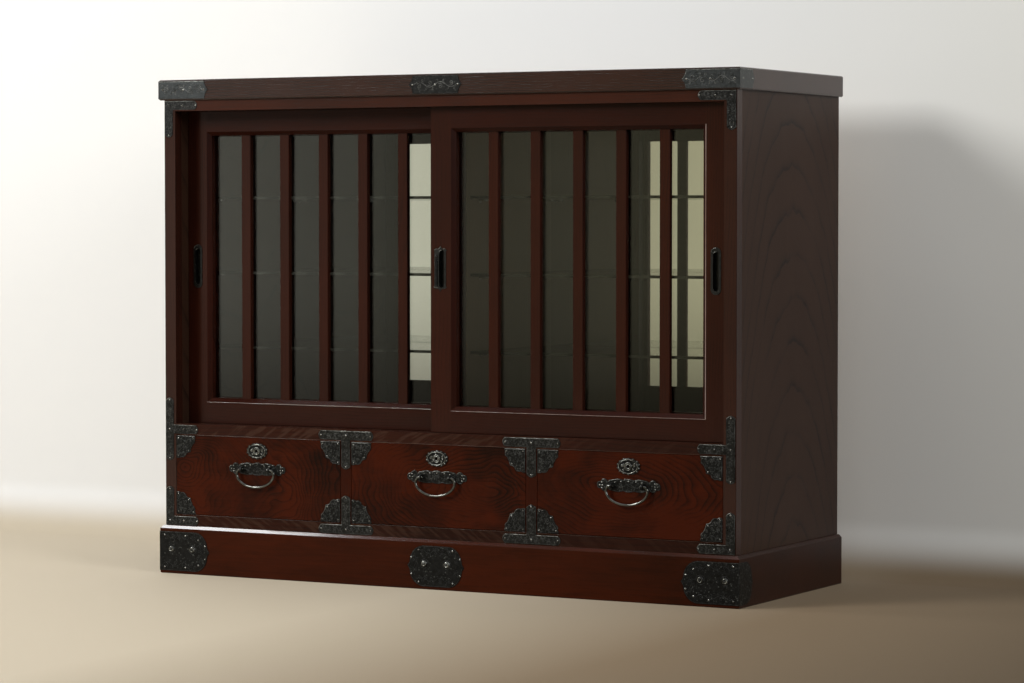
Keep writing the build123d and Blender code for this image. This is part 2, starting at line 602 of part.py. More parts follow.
# ---- sliding doors -------------------------------------------------------------------------
def door_frame(x0, y):
    """Stiles and rails of a door whose left edge is at x0 and whose face is at y."""
    x1 = x0 + DOOR_WIDTH
    z0, z1 = DOOR_BASE_Z, DOOR_HEAD_Z
    face_low = z0 + DOOR_BOTTOM_RAIL
    face_high = z1 - DOOR_TOP_RAIL
    plane = Plane(origin=(0, y + DOOR_THICK, 0), x_dir=(1, 0, 0), z_dir=(0, -1, 0))

    def stile(edge, inward):
        face = edge + inward * DOOR_STILE
        lip = face + inward * BEVEL
        outline = [
            (edge, z0), (face, z0), (face, face_low), (lip, face_low + BEVEL),
            (lip, face_high - BEVEL), (face, face_high), (face, z1), (edge, z1),
        ]
        body = prism(outline, plane, DOOR_THICK)
        body = chamfer(upright_edge(body, edge, y), ARRIS)
        body -= prism(
            [(face, y), (lip + inward, y), (lip + inward, y + BEVEL + 1), (lip, y + BEVEL)],
            Plane.XY.offset(z0), z1 - z0,
        )
        return body

    def rail(edge, upward):
        height = DOOR_BOTTOM_RAIL if upward > 0 else DOOR_TOP_RAIL
        face = edge + upward * height
        lip = face + upward * BEVEL
        a, b = x0 + DOOR_STILE, x1 - DOOR_STILE
        outline = [(a, edge), (b, edge), (b, face), (b - BEVEL, lip), (a + BEVEL, lip), (a, face)]
        body = prism(outline, plane, DOOR_THICK)
        wedge = [(y, face), (y, lip + upward), (y + BEVEL + 1, lip + upward), (y + BEVEL, lip)]
        body -= prism(wedge, Plane(origin=(a, 0, 0), x_dir=(0, 1, 0), z_dir=(1, 0, 0)), b - a)
        return body

    stiles = [stile(x0, 1), stile(x1, -1)]
    rails = [rail(z0, 1), rail(z1, -1)]

    # Each rail's tenon is let into the stiles behind the bevel.
    tenon_y = y + PANE_SETBACK - DOOR_TENON_THICK - 1
    for i, (edge, face) in enumerate(((z0, face_low), (z1, face_high))):
        low, high = sorted((edge, face))
        low += DOOR_TENON_SHOULDER
        high -= DOOR_TENON_SHOULDER
        for j, (root, inward) in enumerate(((x0 + DOOR_STILE, 1), (x1 - DOOR_STILE, -1))):
            end = root - inward * DOOR_TENON_LONG
            a, b = sorted((root, end))
            limits = (a, b, tenon_y, tenon_y + DOOR_TENON_THICK, low, high)
            rails[i] += board(*limits)
            stiles[j] -= grown(*limits)

    # The rebate for pane and beads is worked from the back, all round the opening.
    lap = BEVEL - PANE_LAP - GLASS_GAP
    rebate = board(
        x0 + DOOR_STILE + lap, x1 - DOOR_STILE - lap,
        y + PANE_SETBACK - JOINT_GAP, y + DOOR_THICK,
        face_low + lap, face_high - lap,
    )
    stiles = [part - rebate for part in stiles]
    rails = [part - rebate for part in rails]

    # Tongues that run in the grooves of the sill and the upper rail.
    t0, t1 = y + TONGUE_SETBACK, y + TONGUE_SETBACK + TRACK_TONGUE
    foot = (t0, t1, z0 - TRACK_TONGUE_FOOT, z0)
    head = (t0, t1, z1, z1 + TRACK_TONGUE_TOP)
    inner0, inner1 = x0 + DOOR_STILE, x1 - DOOR_STILE
    rails[0] += board(inner0, inner1, *foot)
    rails[1] += board(inner0, inner1, *head)
    for i, (a, b) in enumerate(((x0, inner0), (inner1, x1))):
        stiles[i] += board(a, b, *foot)
        stiles[i] += board(a, b, *head)
    return stiles, rails


def build_door(name, x0, y, pulls):
    """A complete sliding door: frame, tenoned bars, pane, beads and pulls."""
    stiles, rails = door_frame(x0, y)
    open0 = x0 + DOOR_STILE + BEVEL
    open1 = x0 + DOOR_WIDTH - DOOR_STILE - BEVEL
    low = DOOR_BASE_Z + DOOR_BOTTOM_RAIL + BEVEL
    high = DOOR_HEAD_Z - DOOR_TOP_RAIL - BEVEL
    gap = (open1 - open0 - BAR_COUNT * BAR_WIDTH) / (BAR_COUNT + 1)
    bar_y = y + BAR_SETBACK
    for i in range(BAR_COUNT):
        x = open0 + gap + i * (gap + BAR_WIDTH)
        bar = board(x, x + BAR_WIDTH, bar_y, bar_y + BAR_DEPTH, low, high)
        arrises = bar.edges().filter_by(Axis.Z).group_by(Axis.Y)[0]
        bar = chamfer(arrises, BAR_ARRIS)
        for z_from, z_to in ((low - BAR_TENON, low), (high, high + BAR_TENON)):
            limits = (x + 4, x + BAR_WIDTH - 4, bar_y + 3, bar_y + BAR_DEPTH - 1, z_from, z_to)
            bar += board(*limits)
            rails = [part - grown(*limits) for part in rails]
        keep(name + "_bars", bar)

    pane_x = BEVEL - PANE_LAP
    pane_y = y + PANE_SETBACK
    keep(
        name + "_pane",
        board(
            open0 - PANE_LAP, open1 + PANE_LAP, pane_y, pane_y + PANE_THICK,
            low - PANE_LAP, high + PANE_LAP,
        ),
    )
    bead_y0, bead_y1 = pane_y + PANE_THICK, y + DOOR_THICK
    edge0, edge1 = open0 - BEVEL + pane_x - GLASS_GAP, open1 + BEVEL - pane_x + GLASS_GAP
    foot, head = low - PANE_LAP - GLASS_GAP, high + PANE_LAP + GLASS_GAP
    keep(
        name + "_beads",
        board(edge0, edge1, bead_y0, bead_y1, foot, foot + BEAD_WIDE),
        board(edge0, edge1, bead_y0, bead_y1, head - BEAD_WIDE, head),
        board(edge0, edge0 + BEAD_WIDE, bead_y0, bead_y1, foot + BEAD_WIDE, head - BEAD_WIDE),
        board(edge1 - BEAD_WIDE, edge1, bead_y0, bead_y1, foot + BEAD_WIDE, head - BEAD_WIDE),
    )
    for x, ornate in pulls:
        pull, pocket = door_pull(x, y, ornate)
        stiles = [part - pocket for part in stiles]
        keep(name + "_pulls", pull)
    keep(name + "_stiles", *stiles)
    keep(name + "_rails", *rails)


def oval(long, wide):
    """A slot outline standing on end, centred on the origin."""
    half, straight = wide / 2, (long - wide) / 2
    return [
        Line((half, -straight), (half, straight)),
        ThreePointArc((half, straight), (0, long / 2), (-half, straight)),
        Line((-half, straight), (-half, -straight)),
        ThreePointArc((-half, -straight), (0, -long / 2), (half, -straight)),
    ]


def all_round(quarter, foot=1.0):
    """A closed outline from the arcs of its upper right quarter, with its lower half scaled."""
    edges = []
    for side, up in ((1, 1.0), (1, -foot), (-1, -foot), (-1, 1.0)):
        arcs = [[(side * px, up * pz) for px, pz in arc] for arc in quarter]
        if side * up < 0:
            arcs = [arc[::-1] for arc in arcs[::-1]]
        edges.append([ThreePointArc(*arc) for arc in arcs])
    flank_x, flank_z = quarter[-1][-1]
    if flank_z:
        edges[0].append(Line((flank_x, flank_z), (flank_x, -foot * flank_z)))
        edges[2].append(Line((-flank_x, -foot * flank_z), (-flank_x, flank_z)))
    return edges[0] + edges[1] + edges[2] + edges[3]


def ogee_outline(long, wide):
    """A plate with straight flanks, and an ogee point over two cusped shoulders at each end."""
    half, end = wide / 2, long / 2
    return all_round([
        ((0, end), (0.14 * half, end - 0.12 * wide), (0.42 * half, end - 0.18 * wide)),
        ((0.42 * half, end - 0.18 * wide), (0.78 * half, end - 0.20 * wide), (half, end - 0.30 * wide)),
        ((half, end - 0.30 * wide), (0.90 * half, end - 0.33 * wide), (0.87 * half, end - 0.40 * wide)),
    ])


def door_pull(x, y, ornate):
    """A finger cup sunk in a stile at x, with its plate on the face at y, and its pocket."""
    place = Plane(origin=(x, y, PULL_Z), x_dir=(1, 0, 0), z_dir=(0, -1, 0))
    outline = ogee_outline(PULL_LONG, ORNATE_WIDE) if ornate else oval(PULL_LONG, PULL_WIDE)
    cup = make_face(oval(PULL_CUP_LONG + 2 * PULL_WALL, PULL_CUP_WIDE + 2 * PULL_WALL))
    hollow = make_face(oval(PULL_CUP_LONG, PULL_CUP_WIDE))
    room = make_face(oval(
        PULL_CUP_LONG + 2 * PULL_WALL + 2 * JOINT_GAP, PULL_CUP_WIDE + 2 * PULL_WALL + 2 * JOINT_GAP
    ))
    sunk = place * Pos(ORNATE_CUP_SHIFT, 0) if ornate else place
    plate = extrude(place * make_face(outline), PULL_LIP)
    plate += extrude(sunk * cup, -(PULL_CUP_DEEP + PULL_WALL))
    plate -= extrude(sunk * hollow, PULL_LIP)
    plate -= extrude(sunk * hollow, -PULL_CUP_DEEP)
    if ornate:
        plate += pull_rib(x - RIB_FROM_MIDDLE, y)
    pocket = extrude(sunk * room, -(PULL_CUP_DEEP + PULL_WALL + JOINT_GAP))
    return plate, pocket


def pull_rib(x, y):
    """A half-round rib on the larger pull, with two rings and a bead at its head."""
    ring_high = RIB_RADIUS * 0.65
    shaft_head = RIB_HEAD - 3.4 * RIB_RADIUS
    middle = PULL_Z + (shaft_head - RIB_FOOT) / 2
    neck = shaft_head + 0.8 * RIB_RADIUS
    front = y - PULL_LIP
    rib = Pos(x, front, middle) * Cylinder(RIB_RADIUS, RIB_FOOT + shaft_head)
    rib += Pos(x, front, PULL_Z + neck) * Cylinder(RIB_RADIUS, 2 * RIB_RADIUS)
    for z in (shaft_head, shaft_head + 1.6 * RIB_RADIUS):
        rib += Pos(x, front, PULL_Z + z) * Cylinder(RIB_RING, ring_high)
    rib += Pos(x, front, PULL_Z + RIB_HEAD) * Sphere(RIB_RADIUS)
    behind = (x - RIB_RING, x + RIB_RING, y, y + RIB_RING, PULL_Z - PULL_LONG, PULL_Z + PULL_LONG)
    return rib - board(*behind)


def build_doors():
    """The rear door at the left and the front door at the right, both closed."""
    left = -INNER_X + RUN_GAP
    right = INNER_X - RUN_GAP - DOOR_WIDTH
    build_door("left_door", left, REAR_DOOR_Y, [(left + PULL_FROM_EDGE, False)])
    build_door(
        "right_door", right, FRONT_DOOR_Y,
        [(right + ORNATE_FROM_EDGE, True), (right + DOOR_WIDTH - PULL_FROM_EDGE, False)],
    )


# ---- drawers -------------------------------------------------------------------------------
def dovetail_tails(x_face, inward, z0, z1, y0, y1):
    """The tails on a drawer side's front end, wider at the tip, as solids."""
    pitch = (z1 - z0) / DOVETAILS
    depth = y1 - y0
    tails = []
    for i in range(DOVETAILS):
        middle = z0 + pitch * (i + 0.5)
        tip = pitch * 0.36
        root = tip - depth * DOVETAIL_SLOPE
        section = [(y1, middle - root), (y1, middle + root), (y0, middle + tip), (y0, middle - tip)]
        plane = Plane(origin=(x_face, 0, 0), x_dir=(0, 1, 0), z_dir=(1, 0, 0))
        tails.append(prism(section, plane, inward * DRAWER_SIDE_THICK))
    return tails


def build_drawer(name, x):
    """A flush drawer: dovetailed box on a figured front, with its iron and bail handle."""
    half = DRAWER_WIDTH / 2
    z0, z1 = RAIL_TOP_Z + DRAWER_REVEAL, SILL_Z - DRAWER_REVEAL
    y0 = CASE_Y
    front_back = y0 + DRAWER_FRONT_THICK
    box_back = y0 + DRAWER_LENGTH
    side_z0 = RAIL_TOP_Z + RUN_GAP
    side_z1 = z1 - DRAWER_SIDE_DROP
    bottom_z0 = side_z0 + DRAWER_BOTTOM_RISE
    bottom_z1 = bottom_z0 + DRAWER_BOTTOM_THICK

    front = board(x - half, x + half, y0, front_back, z0, z1)
    front = chamfer(front.faces().sort_by(Axis.Y)[0].edges(), ARRIS)
    sides = []
    for inward, edge in ((1, x - half), (-1, x + half)):
        a, b = sorted((edge, edge + inward * DRAWER_SIDE_THICK))
        side = board(a, b, front_back, box_back, side_z0, side_z1)
        for tail in dovetail_tails(edge, inward, z0 + 1, side_z1, front_back - DRAWER_LAP, front_back):
            side += tail
            front -= tail
        sides.append(side)
    inner0, inner1 = x - half + DRAWER_SIDE_THICK, x + half - DRAWER_SIDE_THICK
    groove = board(
        inner0 - BOTTOM_GROOVE, inner1 + BOTTOM_GROOVE, front_back - BOTTOM_GROOVE, box_back,
        bottom_z0 - JOINT_GAP, bottom_z1 + JOINT_GAP,
    )
    front_groove = board(
        inner0 + JOINT_GAP, inner1 - JOINT_GAP, front_back - BOTTOM_GROOVE, front_back,
        bottom_z0 - JOINT_GAP, bottom_z1 + JOINT_GAP,
    )
    back_y1 = box_back - DRAWER_BACK_INSET
    back_y0 = back_y1 - DRAWER_SIDE_THICK
    back_z0, back_z1 = bottom_z1 + JOINT_GAP, z1 - DRAWER_BACK_DROP
    dado = board(
        inner0 - DRAWER_HOUSING - JOINT_GAP, inner1 + DRAWER_HOUSING + JOINT_GAP,
        back_y0 - JOINT_GAP, back_y1 + JOINT_GAP, bottom_z1, side_z1,
    )
    sides = [part - groove - dado for part in sides]
    front -= front_groove
    keyhole = Pos(x, y0, LOCK_Z) * Rot(90, 0, 0) * Cylinder(KEYHOLE, 2 * KEYHOLE_DEEP)
    keep(name + "_front", front - keyhole)

    bottom = board(
        inner0 - BOTTOM_GROOVE + JOINT_GAP, inner1 + BOTTOM_GROOVE - JOINT_GAP,
        front_back, box_back - JOINT_GAP, bottom_z0, bottom_z1,
    )
    bottom += board(
        inner0 + 2 * JOINT_GAP, inner1 - 2 * JOINT_GAP,
        front_back - BOTTOM_GROOVE + JOINT_GAP, front_back, bottom_z0, bottom_z1,
    )
    back = board(inner0 - DRAWER_HOUSING, inner1 + DRAWER_HOUSING, back_y0, back_y1, back_z0, back_z1)
    keep(name + "_box", *sides, back, bottom)
    build_drawer_iron(name, x, y0, z0, z1)
    build_handle(name, x, y0)


def fan_outline():
    """A fan-shaped corner plate with its corner at the origin and its legs along +X and -Z."""
    scallops = [
        ((0.98, 0.00), (1.00, 0.07), (0.955, 0.14)),
        ((0.955, 0.14), (0.975, 0.26), (0.88, 0.37)),
        ((0.88, 0.37), (0.785, 0.54), (0.74, 0.73)),
        ((0.74, 0.73), (0.62, 0.745), (0.52, 0.81)),
        ((0.52, 0.81), (0.40, 0.95), (0.22, 0.955)),
        ((0.22, 0.955), (0.10, 1.00), (0.00, 0.98)),
    ]
    arcs = [ThreePointArc(*[(FAN * across, -FAN * down) for across, down in arc]) for arc in scallops]
    return [Line((0, 0), (FAN * 0.98, 0)), *arcs, Line((0, -FAN * 0.98), (0, 0))]


def build_drawer_iron(name, x, y, z0, z1):
    """Four fan plates in the corners of a drawer front, and the flower escutcheon."""
    half = DRAWER_WIDTH / 2 - FAN_INSET
    fan = flat_iron(make_face(fan_outline()), 0)
    flipped = fan.mirror(Plane.XY)
    high, low = z1 - FAN_INSET, z0 + FAN_INSET
    plates = [
        Pos(x - half, y, high) * fan,
        Pos(x - half, y, low) * flipped,
        Pos(x + half, y, high) * mirrored(fan),
        Pos(x + half, y, low) * mirrored(flipped),
    ]
    petals = []
    for i in range(ESCUTCHEON_PETALS):
        angle0 = 2 * math.pi * i / ESCUTCHEON_PETALS
        angle1 = 2 * math.pi * (i + 1) / ESCUTCHEON_PETALS
        notch0, notch1 = ellipse_point(angle0, 0.93), ellipse_point(angle1, 0.93)
        petals.append(ThreePointArc(notch0, ellipse_point((angle0 + angle1) / 2, 1.0), notch1))
    place = Plane(origin=(x, y, LOCK_Z), x_dir=(1, 0, 0), z_dir=(0, -1, 0))
    escutcheon = extrude(place * make_face(petals), ESCUTCHEON_THICK)
    half_wide, half_high = ESCUTCHEON_WIDE / 2, ESCUTCHEON_HIGH / 2
    band = Ellipse(0.88 * half_wide, 0.88 * half_high) - Ellipse(0.74 * half_wide, 0.72 * half_high)
    rim = extrude(place.offset(ESCUTCHEON_THICK) * band, ESCUTCHEON_RIM)
    ring = Pos(x, y - ESCUTCHEON_THICK, LOCK_Z) * Rot(90, 0, 0) * Cylinder(
        ESCUTCHEON_HIGH * 0.24, ESCUTCHEON_THICK, align=(Align.CENTER, Align.CENTER, Align.MIN)
    )
    hole = Pos(x, y, LOCK_Z) * Rot(90, 0, 0) * Cylinder(KEYHOLE, 6 * ESCUTCHEON_THICK)
    keep(name + "_iron", *plates, escutcheon + rim + ring - hole)


def ellipse_point(angle, share):
    """A point of the escutcheon's oval, at a share of its size."""
    return (
        share * ESCUTCHEON_WIDE / 2 * math.cos(angle),
        share * ESCUTCHEON_HIGH / 2 * math.sin(angle),
    )


def handle_outline():
    """The handle plate: a body scalloped along its edges, and a three-petalled end on each side."""
    far = HANDLE_PLATE_WIDE / 2
    high = HANDLE_PLATE_HIGH / 2
    body = far - 1.75 * HANDLE_LOBE
    cusp = far - 0.6 * HANDLE_LOBE
    quarter = [
        ((0, high), (0.13 * body, high * 0.985), (0.24 * body, high * 0.84)),
        ((0.24 * body, high * 0.84), (0.55 * body, high * 0.97), (0.84 * body, high * 0.8)),
        ((0.84 * body, high * 0.8), (0.97 * body, high * 0.66), (body, high * 0.38)),
        ((body, high * 0.38), (far - 1.15 * HANDLE_LOBE, high * 0.93), (cusp, high * 0.5)),
        ((cusp, high * 0.5), (far - 0.1 * HANDLE_LOBE, high * 0.4), (far, 0)),
    ]
    return all_round(quarter, HANDLE_FOOT)


def build_handle(name, x, y):
    """Handle plate with its two eye posts, and the bail that hangs in the eyes."""
    place = Plane(origin=(x, y, HINGE_Z), x_dir=(1, 0, 0), z_dir=(0, -1, 0))
    plate = extrude(place * make_face(handle_outline()), IRON)
    hinge_y = y - POST_REACH
    bore_radius = BAIL_ROD + EYE_GAP
    posts = []
    for s in (-1, 1):
        centre = x + s * POST_SPACING / 2
        lug = board(
            centre - POST_THICK / 2, centre + POST_THICK / 2, hinge_y, y - IRON,
            HINGE_Z - POST_ROUND, HINGE_Z + POST_ROUND,
        )
        lug += Pos(centre, hinge_y, HINGE_Z) * Rot(0, 90, 0) * Cylinder(POST_ROUND, POST_THICK)
        bore = Pos(centre, hinge_y, HINGE_Z) * Rot(0, 90, 0) * Cylinder(bore_radius, 2 * POST_THICK)
        posts.append(lug - bore)
    keep(name + "_handle_plate", plate, *posts)

    top = POST_SPACING / 2 - POST_THICK / 2 - BAIL_PIN_PAST
    side_x = BAIL_WIDE / 2 - BAIL_ROD
    corner_x = side_x - BAIL_CORNER
    sag = BAIL_DROP - BAIL_ROD - BAIL_CORNER
    path = Wire([
        Line((-top, 0), (-corner_x, 0)),
        CenterArc((-corner_x, -BAIL_CORNER), BAIL_CORNER, 90, 90),
        EllipticalCenterArc((0, -BAIL_CORNER), side_x, sag, 180, arc_size=180),
        CenterArc((corner_x, -BAIL_CORNER), BAIL_CORNER, 0, 90),
        Line((corner_x, 0), (top, 0)),
    ])
    line = Plane(origin=(x, hinge_y, HINGE_Z), x_dir=(1, 0, 0), z_dir=(0, -1, 0)) * path
    start = Plane(origin=(x - top, hinge_y, HINGE_Z), x_dir=(0, 1, 0), z_dir=(-1, 0, 0))
    keep(name + "_bail", sweep(start * Circle(BAIL_ROD), path=line))


# ---- iron on the case ----------------------------------------------------------------------
def strap_arm(x0, x1, z0, z1):
    """A flat arm from x0 to a pointed end at x1, as a face in the XZ plane."""
    sign = 1 if x1 > x0 else -1
    base = x1 - sign * STRAP_TIP
    tip = pointed_end(base, z0, z1, sign * STRAP_TIP)
    edges = [Line((x0, z0), (base, z0)), *tip, Line((base, z1), (x0, z1)), Line((x0, z1), (x0, z0))]
    return make_face(edges)


def strap_leg(x0, x1, z0, z1):
    """A flat leg from z0 to a pointed end at z1, as a face in the XZ plane."""
    arm = strap_arm(0, z1 - z0, 0, x1 - x0)
    turned = Rot(0, 0, 90) * arm
    return Pos(x1, z0) * turned


def flat_iron(face, y):
    """Cuts a flat fitting from sheet iron, laid on the wood at y."""
    return extrude(Plane(origin=(0, y, 0), x_dir=(1, 0, 0), z_dir=(0, -1, 0)) * face, IRON)


def build_case_straps():
    """Corner, tee and divider straps let on to the front of the case."""
    outer = CASE_X - STRAP_INSET
    end = CASE_X - STRAP_ARM
    leg_in = outer - STRAP_WIDE
    rail = STRAP_WIDE - 1
    z_top = TOP_Z - STRAP_INSET
    upper = strap_arm(outer, end, z_top - rail, z_top) + strap_leg(leg_in, outer, z_top, TOP_Z - UPPER_LEG)
    z_low = CASE_Z + STRAP_INSET
    lower = strap_arm(outer, end, z_low, z_low + rail) + strap_leg(leg_in, outer, z_low, CASE_Z + LOWER_LEG)
    for face in (upper, lower):
        strap = flat_iron(face, CASE_Y)
        keep("corner_straps", strap, mirrored(strap))

    middle = (SILL_Z + SILL_TOP_Z) / 2
    tee = strap_arm(outer, end, middle - rail / 2, middle + rail / 2)
    tee += strap_leg(leg_in, outer, middle, middle + TEE_HALF)
    tee += strap_leg(leg_in, outer, middle, middle - TEE_HALF)
    strap = flat_iron(tee, CASE_Y)
    keep("tee_straps", strap, mirrored(strap))

    half = DIVIDER_WIDE / 2 - STRAP_INSET
    for x in DIVIDER_XS:
        low, high = middle - rail / 2, middle + rail / 2
        upper = strap_arm(x, x + DIVIDER_ARM, low, high) + strap_arm(x, x - DIVIDER_ARM, low, high)
        upper += strap_leg(x - half, x + half, middle, high - rail - DIVIDER_STEM)
        low, high = z_low, z_low + rail
        lower = strap_arm(x, x + DIVIDER_ARM, low, high) + strap_arm(x, x - DIVIDER_ARM, low, high)
        lower += strap_leg(x - half, x + half, low + rail / 2, low + rail + DIVIDER_STEM)
        keep("divider_straps", flat_iron(upper, CASE_Y), flat_iron(lower, CASE_Y))


def end_plate(start, straight, tip, z0, z1, end):
    """A plate face from start, straight for a length and then drawn to its end shape."""
    base = start + straight
    foot, head = Line((start, z0), (base, z0)), Line((base, z1), (start, z1))
    return make_face([foot, *end(base, z0, z1, tip), head, Line((start, z1), (start, z0))])


def bent_corner(front, side, x_outer, y_outer):
    """A plate bent round the left front corner of the wood; both faces start at the corner."""
    front_plane = Plane(origin=(-x_outer - IRON, y_outer, 0), x_dir=(1, 0, 0), z_dir=(0, -1, 0))
    side_plane = Plane(origin=(-x_outer, y_outer - IRON, 0), x_dir=(0, 1, 0), z_dir=(1, 0, 0))
    return extrude(front_plane * front, IRON) + extrude(side_plane * side, -IRON)


def mirror_in_x(face):
    """The face turned over end for end."""
    return face.mirror(Plane.YZ)


def build_top_iron():
    """Corner and centre plates on the edge of the top board."""
    z0 = TOP_Z + TOP_PLATE_MARGIN
    z1 = HEIGHT - TOP_PLATE_MARGIN
    front = end_plate(0, TOP_PLATE_LONG, PLATE_TIP, z0, z1, cusped_end)
    side = end_plate(0, TOP_PLATE_SIDE, PLATE_TIP, z0, z1, cusped_end)
    corner = bent_corner(front, side, TOP_X, PLINTH_Y)
    keep("top_corner_plates", corner, mirrored(corner))
    centre = end_plate(0, TOP_CENTRE_LONG / 2, PLATE_TIP, z0, z1, cusped_end)
    centre += mirror_in_x(centre)
    keep("centre_plates", flat_iron(centre, PLINTH_Y))


def build_plinth_iron():
    """Corner and centre plates on the plinth, each pair of domed nails through them."""
    z0 = PLINTH_PLATE_BASE
    z1 = PLATE_TOP_Z
    front = end_plate(0, PLINTH_PLATE_STRAIGHT, PLINTH_PLATE_TIP, z0, z1, lobed_end)
    side = end_plate(0, PLINTH_SIDE_STRAIGHT, PLINTH_SIDE_TIP, z0, z1, lobed_end)
    corner = bent_corner(front, side, PLINTH_X, PLINTH_Y)
    centre = end_plate(0, PLINTH_CENTRE_STRAIGHT / 2, PLINTH_CENTRE_TIP, z0, z1, lobed_end)
    centre += mirror_in_x(centre)
    centre_plate = flat_iron(centre, PLINTH_Y)

    first = -PLINTH_X - IRON + BOSS_FROM_CORNER
    holes = []
    for x in (first, first + BOSS_SPACING, -BOSS_SPACING / 2):
        nail = domed_nail(x, PLINTH_Y - IRON, BOSS_Z)
        keep("plinth_nails", nail, mirrored(nail))
        shank = Pos(x, PLINTH_Y, BOSS_Z) * Rot(90, 0, 0) * Cylinder(BOSS_SHANK + JOINT_GAP, 4 * IRON)
        holes.append(shank)
    for hole in holes:
        corner -= hole
        centre_plate -= hole
        centre_plate -= mirrored(hole)
    keep("plinth_corner_plates", corner, mirrored(corner))
    keep("centre_plates", centre_plate)


def domed_nail(x, y, z):
    """A domed nail whose head sits on y; its shank goes through the iron into the wood."""
    sphere = (BOSS_RADIUS**2 + BOSS_HIGH**2) / (2 * BOSS_HIGH)
    dome = Pos(0, 0, BOSS_HIGH - sphere) * Sphere(sphere)
    head = dome & (Pos(0, 0, BOSS_HIGH / 2) * Box(4 * BOSS_RADIUS, 4 * BOSS_RADIUS, BOSS_HIGH))
    shank = Pos(0, 0, -BOSS_SHANK_LONG / 2) * Cylinder(BOSS_SHANK, BOSS_SHANK_LONG)
    return Pos(x, y, z) * Rot(90, 0, 0) * (head + shank)


def bore_plinth_for_nails():
    """Lets the nails' shanks into the plinth's front board."""
    first = -PLINTH_X - IRON + BOSS_FROM_CORNER
    front = nodes["plinth_front"][0]
    for x in (first, first + BOSS_SPACING, -BOSS_SPACING / 2):
        bore = Pos(x, PLINTH_Y, BOSS_Z) * Rot(90, 0, 0) * Cylinder(
            BOSS_SHANK + JOINT_GAP, 2 * BOSS_SHANK_LONG
        )
        front -= bore
        front -= mirrored(bore)
    nodes["plinth_front"] = front.solids()


build_plinth()
build_sides()
build_top()
build_rails()
build_drawer_bay()
build_display()
build_back()
build_doors()
for drawer_name, drawer_x in zip(DRAWER_NAMES, DRAWER_XS):
    build_drawer(drawer_name, drawer_x)
build_case_straps()
build_top_iron()
build_plinth_iron()
bore_plinth_for_nails()

os.makedirs("parts", exist_ok=True)
for node, solids in nodes.items():
    shape = solids[0] if len(solids) == 1 else Compound(children=list(solids))
    export_step(shape, f"parts/{node}.step")
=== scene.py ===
import math

import bpy
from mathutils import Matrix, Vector


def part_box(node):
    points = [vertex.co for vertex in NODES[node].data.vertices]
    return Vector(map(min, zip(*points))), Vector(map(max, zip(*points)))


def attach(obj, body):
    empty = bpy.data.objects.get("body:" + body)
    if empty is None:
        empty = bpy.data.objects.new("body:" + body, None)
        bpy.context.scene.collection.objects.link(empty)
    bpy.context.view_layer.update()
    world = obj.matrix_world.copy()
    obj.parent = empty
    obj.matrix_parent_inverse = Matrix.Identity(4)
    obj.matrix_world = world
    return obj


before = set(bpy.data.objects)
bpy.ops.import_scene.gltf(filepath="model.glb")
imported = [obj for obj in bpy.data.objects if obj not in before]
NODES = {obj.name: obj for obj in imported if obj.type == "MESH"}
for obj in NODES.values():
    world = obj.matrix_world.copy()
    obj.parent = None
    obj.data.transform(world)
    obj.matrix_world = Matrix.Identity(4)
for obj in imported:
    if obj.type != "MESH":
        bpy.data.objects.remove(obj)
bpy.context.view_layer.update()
MM = 0.001


# ---- plinth --------------------------------------------------------------------------------
# Four zelkova boards under the case, mitred at the front corners and bevelled along the top.
# Rubbed with red-brown lacquer, which darkens the open pores and leaves the late wood red.
def set_inputs(node, inputs):
    """Gives each listed input of a node a value, or links another node's output to it."""
    for key, value in inputs.items():
        if isinstance(value, bpy.types.NodeSocket):
            node.id_data.links.new(value, node.inputs[key])
        else:
            node.inputs[key].default_value = value


def add_node(tree, kind, inputs=None, **settings):
    """Adds a node to a tree, with its settings and then its inputs."""
    node = tree.nodes.new(kind)
    for key, value in settings.items():
        setattr(node, key, value)
    set_inputs(node, inputs or {})
    return node


class Finish:
    """A material in the making; what one call returns can go into the inputs of the next."""

    def __init__(self, name):
        self.material = bpy.data.materials.new(name)
        self.material.use_nodes = True
        self.tree = self.material.node_tree
        self.shader = self.tree.nodes["Principled BSDF"]

    def add(self, kind, inputs=None, **settings):
        return add_node(self.tree, "ShaderNode" + kind, inputs, **settings)

    def place(self):
        return self.add("TexCoord").outputs["Object"]

    def split(self, vector):
        return self.add("SeparateXYZ", {0: vector}).outputs

    def maths(self, operation, *values):
        return self.add("Math", dict(enumerate(values)), operation=operation).outputs[0]

    def noise(self, vector, scale, detail=2.0, rough=0.5, output="Fac"):
        inputs = {"Vector": vector, "Scale": scale, "Detail": detail, "Roughness": rough}
        return self.add("TexNoise", inputs).outputs[output]

    def spread(self, value, low, high, first=0.0, last=1.0, **settings):
        """Turns values between low and high into values between first and last."""
        inputs = {"Value": value, "From Min": low, "From Max": high,
                  "To Min": first, "To Max": last}
        return self.add("MapRange", inputs, **settings).outputs[0]

    def mixed(self, share, first, second):
        """A share of the second colour over the first."""
        inputs = {"Factor": share, "A": first, "B": second}
        return self.add("Mix", inputs, data_type="RGBA").outputs["Result"]

    def ramp(self, value, *stops):
        """Runs through the colours of stops given as (position, colour)."""
        ramp = self.add("ValToRGB", {0: value})
        marks = ramp.color_ramp.elements
        while len(marks) < len(stops):
            marks.new(0.5)
        for mark, (position, colour) in zip(marks, stops):
            mark.position, mark.color = position, (*colour, 1)
        return ramp.outputs[0]

    def show(self, shader):
        set_inputs(self.tree.nodes["Material Output"], {"Surface": shader.outputs[0]})

    def show_mixed(self, share, first, second):
        """Shows a share of the second shader over the first."""
        self.show(self.add("MixShader", {0: share, 1: first.outputs[0], 2: second.outputs[0]}))


